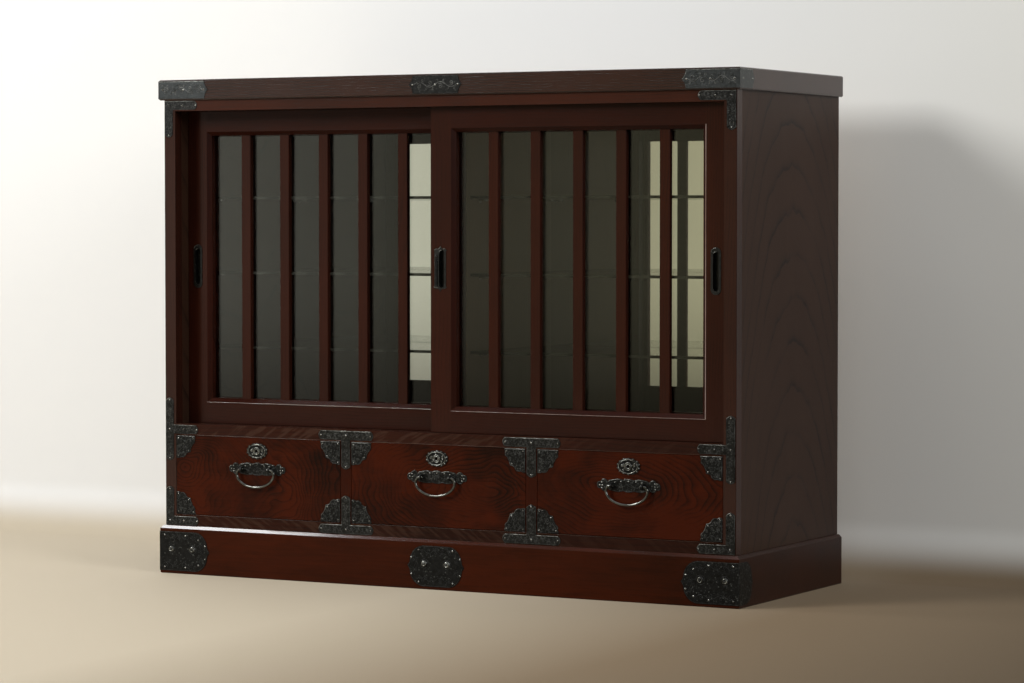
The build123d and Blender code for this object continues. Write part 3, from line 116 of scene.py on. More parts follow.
def lacquered_zelkova(name, along, pith, red, dark, lean=(0.0, 0.0), spacing=0.008, wander=0.02,
                      swirl=6.0, ring_depth=0.5, late=1.0, tone=0.9, patches=7.0, streaks=0.5,
                      gloss=0.20, shine=0.10, coat=0.03, pore_depth=0.4, flow=0.35, sheen_slant=None,
                      bevel=None, seed=0.0):
    """Zelkova sawn along an axis, with its pith and lean given across the grain, in metres."""
    wood = Finish(name)
    maths, noise, spread = wood.maths, wood.noise, wood.spread

    def stretched(vector, share):
        """Draws a pattern out along the grain."""
        inputs = {0: vector, 1: (share, 1.0, 1.0)}
        return wood.add("VectorMath", inputs, operation="MULTIPLY").outputs[0]

    def pushed(vector, field, reach):
        """Moves a place across the grain by a colour noise, by up to half the reach."""
        middle = wood.add("VectorMath", {0: field, 1: (0.5, 0.5, 0.5)}, operation="SUBTRACT")
        inputs = {0: middle.outputs[0], 1: (0.0, reach, reach), 2: vector}
        return wood.add("VectorMath", inputs, operation="MULTIPLY_ADD").outputs[0]

    turn = {"X": (0, 0, 0), "Y": (0, 0, -math.pi / 2), "Z": (0, math.pi / 2, 0)}[along]
    place = wood.place()
    lay = {"Vector": place, "Rotation": turn, "Location": (seed, -pith[0], -pith[1])}
    grain = wood.add("Mapping", lay).outputs[0]

    # The rings are the distance to a pith that leans through the board and wanders.
    bent = pushed(grain, noise(stretched(grain, flow), swirl, output="Color"), wander * 2)
    bent = pushed(bent, noise(stretched(grain, 0.25), 34.0, output="Color"), 0.006)
    u, v, w = wood.split(bent)
    v = maths("MULTIPLY_ADD", u, lean[0], v)
    w = maths("MULTIPLY_ADD", u, lean[1], w)
    radius = maths("SQRT", maths("ADD", maths("MULTIPLY", v, v), maths("MULTIPLY", w, w)))
    age = maths("DIVIDE", radius, spacing)
    growth = [(0.0, 0.25)]
    growth += [(position * late, depth) for position, depth in (
        (0.05, 0.85), (0.12, 0.95), (0.26, 0.50), (0.50, 0.16), (0.80, 0.05), (0.95, 0.0))]
    growth.append((1.0, 0.25 if late == 1.0 else 0.0))
    ring = wood.ramp(maths("FRACT", age), *[(position, (depth,) * 3) for position, depth in growth])

    # Some years are stronger than others, and some places of the board are fainter.
    years = wood.add("TexNoise", {"W": maths("FLOOR", age), "Scale": 1.0, "Detail": 1.0},
                     noise_dimensions="1D").outputs["Fac"]
    strength = spread(years, 0.36, 0.64, 0.25, 1.5)
    faint = spread(noise(stretched(grain, 0.6), 13.0), 0.38, 0.60, 0.2, 1.15)
    band = maths("MULTIPLY", maths("MULTIPLY", ring, strength), faint)

    # Pores fill with dark lacquer, most of all in the early wood of each ring.
    streak = noise(stretched(grain, 0.03), 300.0, 3.0, 0.6)
    pores = spread(noise(stretched(grain, 0.05), 1100.0, 2.0, 0.7), 0.50, 0.66)
    open_pores = maths("MULTIPLY", pores, maths("MULTIPLY_ADD", ring, 0.8, 0.2))
    broad = noise(stretched(bent, flow), patches, 3.0, 0.6)
    cloud = maths("MULTIPLY_ADD", broad, tone * 2, 0.30 - tone)
    shade = maths("MULTIPLY_ADD", streak, streaks, -streaks / 2)
    shade = maths("ADD", maths("MULTIPLY_ADD", band, ring_depth, shade), cloud)
    colour = wood.mixed(shade, (*red, 1), (*dark, 1))
    if sheen_slant:
        # Wavy grain shows slanted bands across the board, painted paler as a sheen that is
        # strongest at the left.
        slant = wood.add("Mapping", {"Vector": bent, "Rotation": (0, sheen_slant, 0)}).outputs[0]
        sheen_fade = spread(u, seed - 0.10, seed + 0.35, 0.60, 0.18)
        sheen_waves = spread(noise(stretched(slant, 0.12), 130.0), 0.48, 0.60, 0.0, sheen_fade)
        sheen_colour = (red[0] * 1.7, red[1] * 2.8 + 0.004, red[2] * 3.2 + 0.004, 1)
        colour = wood.mixed(sheen_waves, colour, sheen_colour)
    pore_colour = (*[c * 0.4 for c in dark], 1)
    if bevel:
        # A bevel is rubbed to a higher gloss than the flat below it.
        low, high, bevel_coat = bevel
        coat = spread(wood.split(place)["Z"], low, high, 0.0, bevel_coat)
    dryness = maths("MULTIPLY_ADD", open_pores, 0.6, maths("MULTIPLY", broad, 0.5))
    relief = maths("ADD", open_pores, maths("MULTIPLY", streak, 0.5))
    bump = wood.add("Bump", {"Height": relief, "Strength": 0.25, "Distance": 0.0002}, invert=True)
    set_inputs(wood.shader, {
        "Base Color": wood.mixed(maths("MULTIPLY", open_pores, pore_depth), colour, pore_colour),
        "Roughness": spread(dryness, 0.0, 1.0, gloss - 0.04, gloss + 0.10),
        "Normal": bump.outputs[0], "Specular IOR Level": shine,
        "Coat Weight": coat, "Coat Roughness": 0.12})
    return wood.material


def surface(material, *names):
    """Gives the named nodes of the frame their material."""
    for name in names:
        slots = NODES[name].data.materials
        slots.clear()
        slots.append(material)


surface(lacquered_zelkova("plinth_lacquer", "X", (-0.62, 0.16), (0.0430, 0.0080, 0.0024),
                          (0.0200, 0.0056, 0.0024), lean=(0.03, 0.01), spacing=0.010, wander=0.03,
                          ring_depth=0.18, tone=1.1, streaks=1.6, shine=0.05,
                          bevel=(0.0955, 0.0970, 0.70)), "plinth_front")
surface(lacquered_zelkova("plinth_end_lacquer", "Y", (0.85, 0.12), (0.030, 0.0095, 0.0055),
                          (0.016, 0.0066, 0.0045), lean=(0.02, 0.03), spacing=0.010,
                          ring_depth=0.4, shine=0.10, gloss=0.3), "plinth_ends")


# ---- hidden boards of the case and plinth --------------------------------------------------
# Unfinished cedar, planed: everything behind the show wood, and the boxes of the drawers.
# Pale and soft, with close straight grain and a dry surface.
def plain_cedar(name, along, pith, pale=(0.52, 0.385, 0.24), late=(0.36, 0.235, 0.125),
                gloss=0.58, shine=0.3):
    """Plain planed softwood, with its rings laid as those of the lacquered boards are."""
    return lacquered_zelkova(name, along, pith, pale, late, lean=(0.02, 0.01), spacing=0.006,
                             wander=0.008, ring_depth=0.6, tone=0.4, gloss=gloss, shine=shine,
                             coat=0.0, pore_depth=0.10)


cedar_along = plain_cedar("cedar_along", "X", (0.9, -0.4))
cedar_deep = plain_cedar("cedar_deep", "Y", (1.1, -0.5))
cedar_upright = plain_cedar("cedar_upright", "Z", (0.9, 0.7))
surface(cedar_along, "plinth_back", "back_battens", "case_floor")
surface(cedar_upright, "plinth_blocks", "back_panel")
surface(cedar_deep, "drawer_partitions", "drawer_runners", "drawer_kickers", "drawer_stops")


# ---- iron on the plinth --------------------------------------------------------------------
# Sheet iron plates bent round the front corners, with one in the middle, blackened with lacquer.
# Vine scrolls are chased over a punched ground; domed nails with a turned ring hold each plate.
def black_iron(name, low, high, ground=1.0, specks=0.6, metal=0.0, dull=0.28, vary=0.18,
               shine=0.15, sheen=(1.0, 1.0, 1.0)):
    """Iron baked with lacquer: black and mottled, its punched ground rubbed bright in specks."""
    iron = Finish(name)
    place = iron.place()
    mottle = iron.noise(place, 120.0, 4.0)
    black = iron.ramp(mottle, (0.34, (low, low, low * 0.86)),
                      (0.68, (high * 0.98, high, high * 0.94)))
    punch = iron.add("TexVoronoi", {"Vector": place, "Scale": 330.0}).outputs["Distance"]
    worn = iron.add("TexVoronoi", {"Vector": place, "Scale": 210.0}).outputs
    dots = iron.spread(worn["Distance"], 0.42, 0.22, 0.0, specks)
    rubbed_and_glints = iron.maths("MULTIPLY", dots, iron.spread(worn["Color"], 0.35, 0.80))
    bump = iron.add("Bump", {"Height": punch, "Strength": 0.55 * ground, "Distance": 0.0006},
                    invert=True)
    set_inputs(iron.shader, {
        "Base Color": iron.mixed(rubbed_and_glints, black, (0.115, 0.120, 0.108, 1)),
        "Roughness": iron.spread(mottle, 0.0, 1.0, dull, dull + vary),
        "Normal": bump.outputs[0], "Metallic": metal,
        "Specular IOR Level": shine, "Specular Tint": (*sheen, 1)})
    return iron.material


def open_tree(name, *sizes):
    """A geometry node tree with a named input for each size, and all that comes in."""
    tree = bpy.data.node_groups.new(name, "GeometryNodeTree")
    kinds = {"Geometry": "Geometry", **dict.fromkeys(sizes, "Float"), "Metal": "Material"}
    for label, kind in kinds.items():
        tree.interface.new_socket(label, in_out="INPUT", socket_type="NodeSocket" + kind)
    tree.interface.new_socket("Geometry", in_out="OUTPUT", socket_type="NodeSocketGeometry")
    return tree, tree.nodes.new("NodeGroupInput").outputs


def close_tree(tree, given, shape):
    """Ends a tree: each repeat becomes real, in the metal that is given."""
    solid = add_node(tree, "GeometryNodeRealizeInstances", {"Geometry": shape.outputs[0]})
    metal = add_node(tree, "GeometryNodeSetMaterial",
                     {"Geometry": solid.outputs[0], "Material": given["Metal"]})
    add_node(tree, "NodeGroupOutput", {"Geometry": metal.outputs[0]})


def bake_tree(rough_object, tree, body, values):
    """Runs a tree on an object, keeps the result as a plain mesh and fixes it to a body."""
    bpy.context.scene.collection.objects.link(rough_object)
    modifier = rough_object.modifiers.new("shape", "NODES")
    modifier.node_group = tree
    for item in tree.interface.items_tree:
        if item.in_out == "INPUT" and item.name in values:
            modifier[item.identifier] = values[item.name]
    depsgraph = bpy.context.evaluated_depsgraph_get()
    shaped = rough_object.evaluated_get(depsgraph)
    mesh = bpy.data.meshes.new_from_object(shaped, depsgraph=depsgraph)
    name = rough_object.name
    rough_object.name = name + "_rough"
    bpy.data.objects.remove(rough_object)
    mesh.name = name
    piece = bpy.data.objects.new(name, mesh)
    bpy.context.scene.collection.objects.link(piece)
    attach(piece, body)


chasing_tree, given = open_tree("chased_line", "Half Width", "Height")
circle = add_node(chasing_tree, "GeometryNodeCurvePrimitiveCircle",
                  {"Resolution": 6, "Radius": 1.0})
size = add_node(chasing_tree, "ShaderNodeCombineXYZ",
                {"X": given["Half Width"], "Y": given["Height"], "Z": 1.0})
section = add_node(chasing_tree, "GeometryNodeTransform",
                   {"Geometry": circle.outputs["Curve"], "Scale": size.outputs[0]})
line = add_node(chasing_tree, "GeometryNodeCurveToMesh",
                {"Curve": given["Geometry"], "Profile Curve": section.outputs[0],
                 "Fill Caps": True})
close_tree(chasing_tree, given, line)


def chased(name, lines, body, metal, half_width=0.5, height=0.4):
    """Fine raised lines worked on a plate, as (points, closed), in metres."""
    curve = bpy.data.curves.new(name, "CURVE")
    curve.dimensions = "3D"
    for points, closed in lines:
        spline = curve.splines.new("POLY")
        spline.points.add(len(points) - 1)
        for point, place in zip(spline.points, points):
            point.co = (*place, 1.0)
        spline.use_cyclic_u = closed
    values = {"Half Width": half_width * MM, "Height": height * MM, "Metal": metal}
    bake_tree(bpy.data.objects.new(name, curve), chasing_tree, body, values)


def spiral(x, z, wide, tight, first, turns, hand, steps=22):
    """A tendril that curls inwards round (x, z), in millimetres."""
    points = []
    for i in range(steps + 1):
        share = i / steps
        reach = wide * (tight / wide) ** share
        angle = first + hand * 2 * math.pi * turns * share
        points.append((x + reach * math.cos(angle), z + reach * math.sin(angle)))
    return points


def vine(x0, z0, x1, z1, width):
    """A running vine between two points, with a tendril in each hollow and buds on its back."""
    length = math.hypot(x1 - x0, z1 - z0)
    ex, ez = (x1 - x0) / length, (z1 - z0) / length
    sheen_waves = max(1, round(length / (0.86 * width)))
    pitch = length / sheen_waves
    steps = 10

    def spot(s, t):
        return (x0 + ex * s - ez * t, z0 + ez * s + ex * t)

    lines = [[spot(length * i / (sheen_waves * steps), 0.20 * width * math.sin(math.pi * i / steps))
              for i in range(sheen_waves * steps + 1)]]
    tilt = math.atan2(ez, ex)
    for i in range(sheen_waves):
        side = 1 if i % 2 == 0 else -1
        x, z = spot(pitch * (i + 0.5), -side * 0.13 * width)
        lines.append(spiral(x, z, 0.24 * width, 0.05 * width, tilt + side * 2.4, 1.35, -side))
        for s, hand in ((0.18, side), (0.82, -side)):
            x, z = spot(pitch * (i + s), side * 0.33 * width)
            lines.append(spiral(x, z, 0.11 * width, 0.03 * width, tilt - side * 1.2, 0.8, hand,
                                steps))
    return lines


def on_front(lines, y):
    """Lays lines drawn in millimetres on the upright plane y, in metres."""
    return [([(x * MM, y * MM, z * MM) for x, z in points], False) for points in lines]


def hoop(x, z, across, down, y):
    """An oval ring on the upright plane y, as (points, closed), from sizes in millimetres."""
    angles = [i * math.pi / 16 for i in range(32)]
    return ([((x + across * math.cos(a)) * MM, y * MM, (z + down * math.sin(a)) * MM)
             for a in angles], True)


def outlines(name, axis, level):
    """The loops of corners round a node's flat faces at a level, in metres."""
    slack = 2e-5
    mesh = NODES[name].data
    key = [tuple(round(c, 5) for c in v.co) for v in mesh.vertices]
    edges = {}
    for face in mesh.polygons:
        corners = [key[i] for i in face.vertices]
        if any(abs(c[axis] - level * MM) > slack for c in corners):
            continue
        for a, b in zip(corners, corners[1:] + corners[:1]):
            if (b, a) in edges:
                del edges[(b, a)]
            else:
                edges[(a, b)] = True
    follow = {a: b for a, b in edges}
    loops = []
    while follow:
        first, here = next(iter(follow.items()))
        loop = [first]
        del follow[first]
        while here != first and here in follow:
            loop.append(here)
            here = follow.pop(here)
        loops.append(loop)
    return loops


def plate_edges(name, axis, level, inset=1.4, worn=False):
    """Lines just inside the edges of a plate's face, or only inside its upper left ones, as painted
    glints.
    """
    shortest = 60.0 * MM
    across, up = [i for i in range(3) if i != axis]
    lines = []
    for loop in outlines(name, axis, level):
        flat = [(p[across], p[up]) for p in loop]
        ahead = flat[1:] + flat[:1]
        if sum(math.dist(a, b) for a, b in zip(flat, ahead)) < shortest:
            continue
        turn = 1 if sum(a[0] * b[1] - b[0] * a[1] for a, b in zip(flat, ahead)) > 0 else -1
        runs = [Vector((here[0] - flat[i - 1][0], here[1] - flat[i - 1][1])).normalized()
                for i, here in enumerate(flat)]
        moved = []
        for here, a, b in zip(flat, runs, runs[1:] + runs[:1]):
            square = Vector((-b.y, b.x))
            mitre = (Vector((-a.y, a.x)) + square).normalized()
            reach = inset * MM / max(0.5, mitre.dot(square))
            point = [level * MM] * 3
            point[across] = here[0] + turn * mitre.x * reach
            point[up] = here[1] + turn * mitre.y * reach
            moved.append(tuple(point))
        if not worn:
            lines.append((moved, True))
            continue
        # Only runs whose edge faces up and to the left are kept: the side the light falls on, for
        # painted glints.
        rubbed_and_glints = []
        for i, a in enumerate(runs + runs[:1]):
            if i and turn * (-0.6 * a.y - 0.8 * a.x) > 0.75:
                rubbed_and_glints = rubbed_and_glints or [moved[i - 1]]
                rubbed_and_glints.append(moved[i % len(moved)])
            elif rubbed_and_glints:
                lines.append((rubbed_and_glints, False))
                rubbed_and_glints = []
        if rubbed_and_glints:
            lines.append((rubbed_and_glints, False))
    return lines


nail_tree, given = open_tree("nail_heads", "Radius", "Rise")
ball = add_node(nail_tree, "GeometryNodeMeshUVSphere", {"Segments": 12, "Rings": 8, "Radius": 1.0})
size = add_node(nail_tree, "ShaderNodeCombineXYZ",
                {"X": given["Radius"], "Y": given["Radius"], "Z": given["Rise"]})
head = add_node(nail_tree, "GeometryNodeTransform",
                {"Geometry": ball.outputs["Mesh"], "Scale": size.outputs[0]})
smooth = add_node(nail_tree, "GeometryNodeSetShadeSmooth", {"Geometry": head.outputs[0]})
facing = add_node(nail_tree, "GeometryNodeInputNamedAttribute", {"Name": "facing"},
                  data_type="FLOAT_VECTOR")
aim = add_node(nail_tree, "FunctionNodeAlignRotationToVector",
               {"Vector": facing.outputs["Attribute"]}, axis="Z")
nails = add_node(nail_tree, "GeometryNodeInstanceOnPoints",
                 {"Points": given["Geometry"], "Instance": smooth.outputs[0],
                  "Rotation": aim.outputs[0]})
close_tree(nail_tree, given, nails)


def nail_heads(name, spots, body, metal, radius=2.2, rise=1.4):
    """Small round nail heads at (x, y, z, facing), in millimetres."""
    mesh = bpy.data.meshes.new(name)
    mesh.from_pydata([(x * MM, y * MM, z * MM) for x, y, z, _ in spots], [], [])
    ways = mesh.attributes.new("facing", "FLOAT_VECTOR", "POINT")
    ways.data.foreach_set("vector", [c for *_, way in spots for c in way])
    values = {"Radius": radius * MM, "Rise": rise * MM, "Metal": metal}
    bake_tree(bpy.data.objects.new(name, mesh), nail_tree, body, values)


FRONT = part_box("plinth_corner_plates")[0].y / MM      # face of the iron on the plinth and the top
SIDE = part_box("plinth_corner_plates")[1].x / MM
OUT = (0.0, -1.0, 0.0)
plate_iron = black_iron("plate_iron", 0.0028, 0.0078, shine=0.12)
chased_iron = black_iron("chased_iron", 0.005, 0.105, ground=0.2, specks=0.0, metal=0.5,
                         shine=0.2)
# Bright iron for the painted glints along edges that face the light.
edge_glint_iron = black_iron("edge_glint_iron", 0.060, 0.420, ground=0.2, specks=0.0, metal=0.6, dull=0.24,
                       shine=0.3)
rubbed_iron = black_iron("rubbed_iron", 0.100, 0.400, ground=0.1, specks=0.0, metal=0.9,
                         dull=0.16)
faint_iron = black_iron("faint_iron", 0.003, 0.030, specks=0.0, shine=0.2)

surface(plate_iron, "plinth_corner_plates", "centre_plates")
surface(chased_iron, "plinth_nails")

# The upper left edges of the plates get painted glints in bright iron.
edges = []
plinth_lines = []
for name in ("plinth_corner_plates", "centre_plates"):
    edges += plate_edges(name, 1, FRONT, worn=True)
    plinth_lines += plate_edges(name, 1, FRONT)
chased("plinth_edge_glints", edges, "case", edge_glint_iron, half_width=0.4)
upper_vine = 78
lower_vine = 20
for side in (-1, 1):
    near = side * (SIDE - 8)
    end = near - side * 84
    rim = near - side * 96
    for vine_ends in ((near, upper_vine, end, upper_vine, 20),
                      (near, lower_vine, end, lower_vine, 22), (rim, 24, rim, 74, 22)):
        plinth_lines += on_front(vine(*vine_ends), FRONT)
for vine_ends in ((-40, upper_vine, 40, upper_vine, 20), (-42, lower_vine, 42, lower_vine, 22),
                  (-49, 30, -49, 68, 18), (49, 30, 49, 68, 18)):
    plinth_lines += on_front(vine(*vine_ends), FRONT)

nail_z = 53
nail_rings = []
nail_xs = [-26.5, 26.5]
for side in (-1, 1):
    nail_xs += [side * (SIDE - 31), side * (SIDE - 84)]
for x in nail_xs:
    plinth_lines.append(hoop(x, nail_z, 9.4, 9.4, FRONT))
    nail_rings.append(hoop(x, nail_z, 4.5, 4.5, FRONT - 3.0))
chased("plinth_chasing", plinth_lines, "case", faint_iron)
chased("nail_rings", nail_rings, "case", rubbed_iron, half_width=1.0, height=0.7)

plinth_tacks = []
for side in (-1, 1):
    for inward, z in ((13, 82), (13, 14), (66, 82), (66, 14), (99, 74), (116, 62), (116, 34),
                      (99, 20)):
        plinth_tacks.append((side * (SIDE - inward), FRONT, z, OUT))
    for x, z in ((40, 81), (40, 15), (57, 65), (57, 31)):
        plinth_tacks.append((side * x, FRONT, z, OUT))
nail_heads("plinth_tacks", plinth_tacks, "case", rubbed_iron, radius=2.0, rise=1.2)


# ---- case frame ----------------------------------------------------------------------------
# Rails and sill along the front, uprights at the sides and between the drawers, and wide sides.
# All of lacquered zelkova; the side boards show the broad arched figure of a plain-sawn plank.
surface(lacquered_zelkova("rail_lacquer", "X", (-0.27, 1.25), (0.054, 0.0138, 0.0070),
                          (0.024, 0.0087, 0.0054), lean=(0.03, 0.02), spacing=0.007,
                          ring_depth=0.3, shine=0.15), "upper_rail")
surface(lacquered_zelkova("sill_lacquer", "X", (-0.27, 0.25), (0.030, 0.0072, 0.0036),
                          (0.013, 0.0045, 0.0028), lean=(0.03, 0.02), shine=0.09, sheen_slant=0.55),
        "door_sill")
surface(lacquered_zelkova("lower_rail_lacquer", "X", (-0.29, 0.05), (0.026, 0.0058, 0.0026),
                          (0.011, 0.0036, 0.0021), lean=(0.03, 0.02), shine=0.07, sheen_slant=-0.60,
                          seed=0.7), "lower_rail")
surface(lacquered_zelkova("stile_lacquer", "Z", (-0.20, 0.55), (0.033, 0.0098, 0.0056),
                          (0.015, 0.0058, 0.0040), lean=(0.02, 0.01), spacing=0.007,
                          ring_depth=0.35, shine=0.20), "front_stiles")
surface(lacquered_zelkova("divider_lacquer", "Z", (-0.20, 0.35), (0.038, 0.0070, 0.0026),
                          (0.014, 0.0044, 0.0024), lean=(0.02, 0.01), spacing=0.007,
                          ring_depth=0.35, shine=0.05, coat=0.0), "drawer_dividers")
surface(lacquered_zelkova("side_lacquer", "Z", (0.04, -0.32), (0.040, 0.0185, 0.0108),
                          (0.010, 0.0052, 0.0036), lean=(0.02, -0.17), spacing=0.015,
                          wander=0.014, swirl=3.0, ring_depth=0.75, late=0.3, tone=0.20,
                          streaks=0.25, gloss=0.36, shine=0.09, coat=0.0, pore_depth=0.25),
        "side_left", "side_right")

# A thin pale line along the arris over and under the drawers is a painted highlight.
arris_highlight_lacquer = lacquered_zelkova("arris_highlight_lacquer", "X", (-0.27, 0.25), (0.110, 0.056, 0.036),
                                 (0.020, 0.0090, 0.0060), spacing=0.03, shine=0.3)
arris_half = 629
arris = []
for node, corner, inward in (("door_sill", 0, 0.4), ("lower_rail", 1, -0.4)):
    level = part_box(node)[corner].z / MM + inward
    arris += on_front([[(-arris_half, level), (arris_half, level)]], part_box(node)[0].y / MM)
chased("rail_arris", arris, "case", arris_highlight_lacquer, half_width=0.4, height=0.3)


# ---- display space behind the doors --------------------------------------------------------
# Natural pale wood inside, a mirror across the back of each bay, and three glass shelves in each.
# The shelves rest on short iron pins plugged into the sides and the middle partition.
surface(plain_cedar("display_wood", "Y", (1.2, 0.4), pale=(0.42, 0.34, 0.245),
                    late=(0.34, 0.265, 0.18), gloss=0.08, shine=0.5),
        "display_floor", "display_ceiling")
surface(plain_cedar("display_partition_wood", "Z", (0.5, 0.3), pale=(0.30, 0.245, 0.175),
                    late=(0.24, 0.19, 0.13), gloss=0.35), "display_partition")
surface(rubbed_iron, "shelf_pins")


def silvered_glass(name):
    """Mirror glass, silvered at its back and faintly warm; soft light meets it as plain grey."""
    glass = Finish(name)
    haze = glass.noise(glass.place(), 9.0)
    tint = glass.mixed(haze, (0.79, 0.775, 0.75, 1), (0.82, 0.805, 0.78, 1))
    set_inputs(glass.shader, {"Base Color": tint, "Metallic": 1.0, "Roughness": 0.02})
    soft = glass.add("BsdfDiffuse", {"Color": (0.45, 0.44, 0.42, 1)})
    glass.show_mixed(glass.add("LightPath").outputs["Is Diffuse Ray"], glass.shader, soft)
    return glass.material


def thin_glass(name, clear, axis, edge):
    """Clear plate glass: straight through its faces, dark and green through its ground edges."""
    glass = Finish(name)
    normal = glass.add("NewGeometry").outputs["Normal"]
    flat = glass.maths("ABSOLUTE", glass.split(normal)[axis])
    through = glass.add("BsdfTransparent", {"Color": glass.mixed(flat, (*edge, 1), (*clear, 1))})
    gloss = glass.add("BsdfAnisotropic", {"Roughness": 0.0})
    mirrored = glass.add("Fresnel", {"IOR": 1.45}).outputs[0]
    soft_light = glass.add("LightPath").outputs["Is Diffuse Ray"]
    share = glass.add("Math", {0: mirrored, 1: soft_light}, operation="SUBTRACT", use_clamp=True)
    glass.tree.nodes.remove(glass.shader)
    glass.show_mixed(share.outputs[0], through, gloss)
    return glass.material


surface(silvered_glass("silvered_glass"), "back_mirrors")
surface(thin_glass("shelf_glass", (0.93, 0.955, 0.94), "Z", (0.16, 0.21, 0.17)),
        "shelves_left", "shelves_right")


# ---- top board -----------------------------------------------------------------------------
# One thick zelkova board with eased edges, laid on the sides.
# Wrapped iron corners and a middle plate, each with a run of chased vine and three nails.
surface(lacquered_zelkova("top_lacquer", "X", (-0.30, 1.93), (0.034, 0.0108, 0.0064),
                          (0.014, 0.0060, 0.0044), lean=(0.02, 0.012), spacing=0.006,
                          ring_depth=0.7, tone=0.5, shine=0.42, coat=0.0), "top_board")
surface(black_iron("top_iron", 0.004, 0.015, shine=0.42, specks=0.5, dull=0.24,
                   sheen=(0.86, 0.95, 1.0)), "top_corner_plates")
scroll_iron = black_iron("scroll_iron", 0.026, 0.200, specks=0.0, metal=0.6)

TOP_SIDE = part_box("top_corner_plates")[1].x / MM
top_middle = 1031.5
vine_width = 27
# The upper left edges of the top plates get painted glints in bright iron.
edges = plate_edges("top_corner_plates", 1, FRONT, worn=True)
top_lines = []
top_tacks = [(x, FRONT, top_middle, OUT) for x in (-53, 0, 53)]
for side in (-1, 1):
    edges += plate_edges("top_corner_plates", 0, side * TOP_SIDE, worn=True)
    top_lines += on_front(vine(side * (TOP_SIDE - 7), top_middle, side * (TOP_SIDE - 112),
                               top_middle, vine_width), FRONT)
    for inward in (12, 64, 115):
        top_tacks.append((side * (TOP_SIDE - inward), FRONT, top_middle, OUT))
    for back in (14, 58):
        top_tacks.append((side * (TOP_SIDE - 0.5), FRONT + back, top_middle, (side, 0.0, 0.0)))
top_lines += on_front(vine(-50, top_middle, 50, top_middle, vine_width), FRONT)
chased("top_edge_glints", edges, "case", edge_glint_iron)
chased("top_chasing", top_lines, "case", scroll_iron, half_width=0.9, height=0.6)
nail_heads("top_tacks", top_tacks, "case", rubbed_iron)


# ---- straps on the front of the case -------------------------------------------------------
# Flat iron angles at the corners, tees where the sill meets the stiles and the dividers.
# Laid on the wood over the joints, chased like the plates and tacked at each end and corner.
straps = ("corner_straps", "tee_straps", "divider_straps")
surface(black_iron("strap_iron", 0.0022, 0.0070, shine=0.20, dull=0.22), *straps)
CASE_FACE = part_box("corner_straps")[0].y / MM
STRAP_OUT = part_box("corner_straps")[1].x / MM
# The upper left edges of the straps get painted glints in bright iron.
edges = []
strap_lines = []
strap_tacks = []
for name in straps:
    strap_lines += plate_edges(name, 1, CASE_FACE)
    edges += plate_edges(name, 1, CASE_FACE, inset=0.8, worn=True)
chased("strap_edge_glints", edges, "case", edge_glint_iron, half_width=0.35, height=0.35)

rail_z = 999.0
sill_z = 309.0
lower_rail_z = 113.5
arm_end = STRAP_OUT - 78
leg = STRAP_OUT - 10
for side in (-1, 1):
    for level in (rail_z, sill_z, lower_rail_z):
        arm = vine(side * (STRAP_OUT - 5), level, side * arm_end, level, 15)
        strap_lines += on_front(arm, CASE_FACE)
        strap_tacks += [(side * x, CASE_FACE, level, OUT) for x in (leg, arm_end - 1, arm_end + 33)]
    for z0, z1 in ((988, 936), (319, 371), (299, 247), (125, 181)):
        strap_lines += on_front(vine(side * leg, z0, side * leg, z1, 15), CASE_FACE)
        strap_tacks.append((side * leg, CASE_FACE, z1, OUT))
divider_x = 218.67
tee_half = 60
for x in (-divider_x, divider_x):
    for level, z0, z1 in ((sill_z, 299, 244), (lower_rail_z, 124, 179)):
        strap_lines += on_front(vine(x - tee_half, level, x + tee_half, level, 15), CASE_FACE)
        strap_lines += on_front(vine(x, z0, x, z1, 16), CASE_FACE)
        strap_tacks += [(x + dx, CASE_FACE, level, OUT) for dx in (-tee_half, 0, tee_half)]
        strap_tacks.append((x, CASE_FACE, z1, OUT))
chased("strap_chasing", strap_lines, "case", chased_iron, half_width=0.4, height=0.3)
nail_heads("strap_tacks", strap_tacks, "case", rubbed_iron, radius=1.9, rise=1.2)


# ---- sliding doors -------------------------------------------------------------------------
# Tenoned frames with a bevel round the inside, five upright bars in front of one sheet of glass.
# The rear door runs at the left and the front one at the right, on tongues in two grooves.
door_upright = lacquered_zelkova("door_stile_lacquer", "Z", (-0.32, 0.10),
                                 (0.033, 0.0070, 0.0032), (0.014, 0.0042, 0.0024),
                                 lean=(0.015, 0.02), spacing=0.006, ring_depth=0.4, tone=0.7,
                                 coat=0.14)
door_across = lacquered_zelkova("door_rail_lacquer", "X", (-0.34, 1.66),
                                (0.030, 0.0065, 0.0032), (0.014, 0.0042, 0.0027),
                                lean=(0.02, 0.01), spacing=0.006, ring_depth=0.4, tone=0.7,
                                shine=0.13)
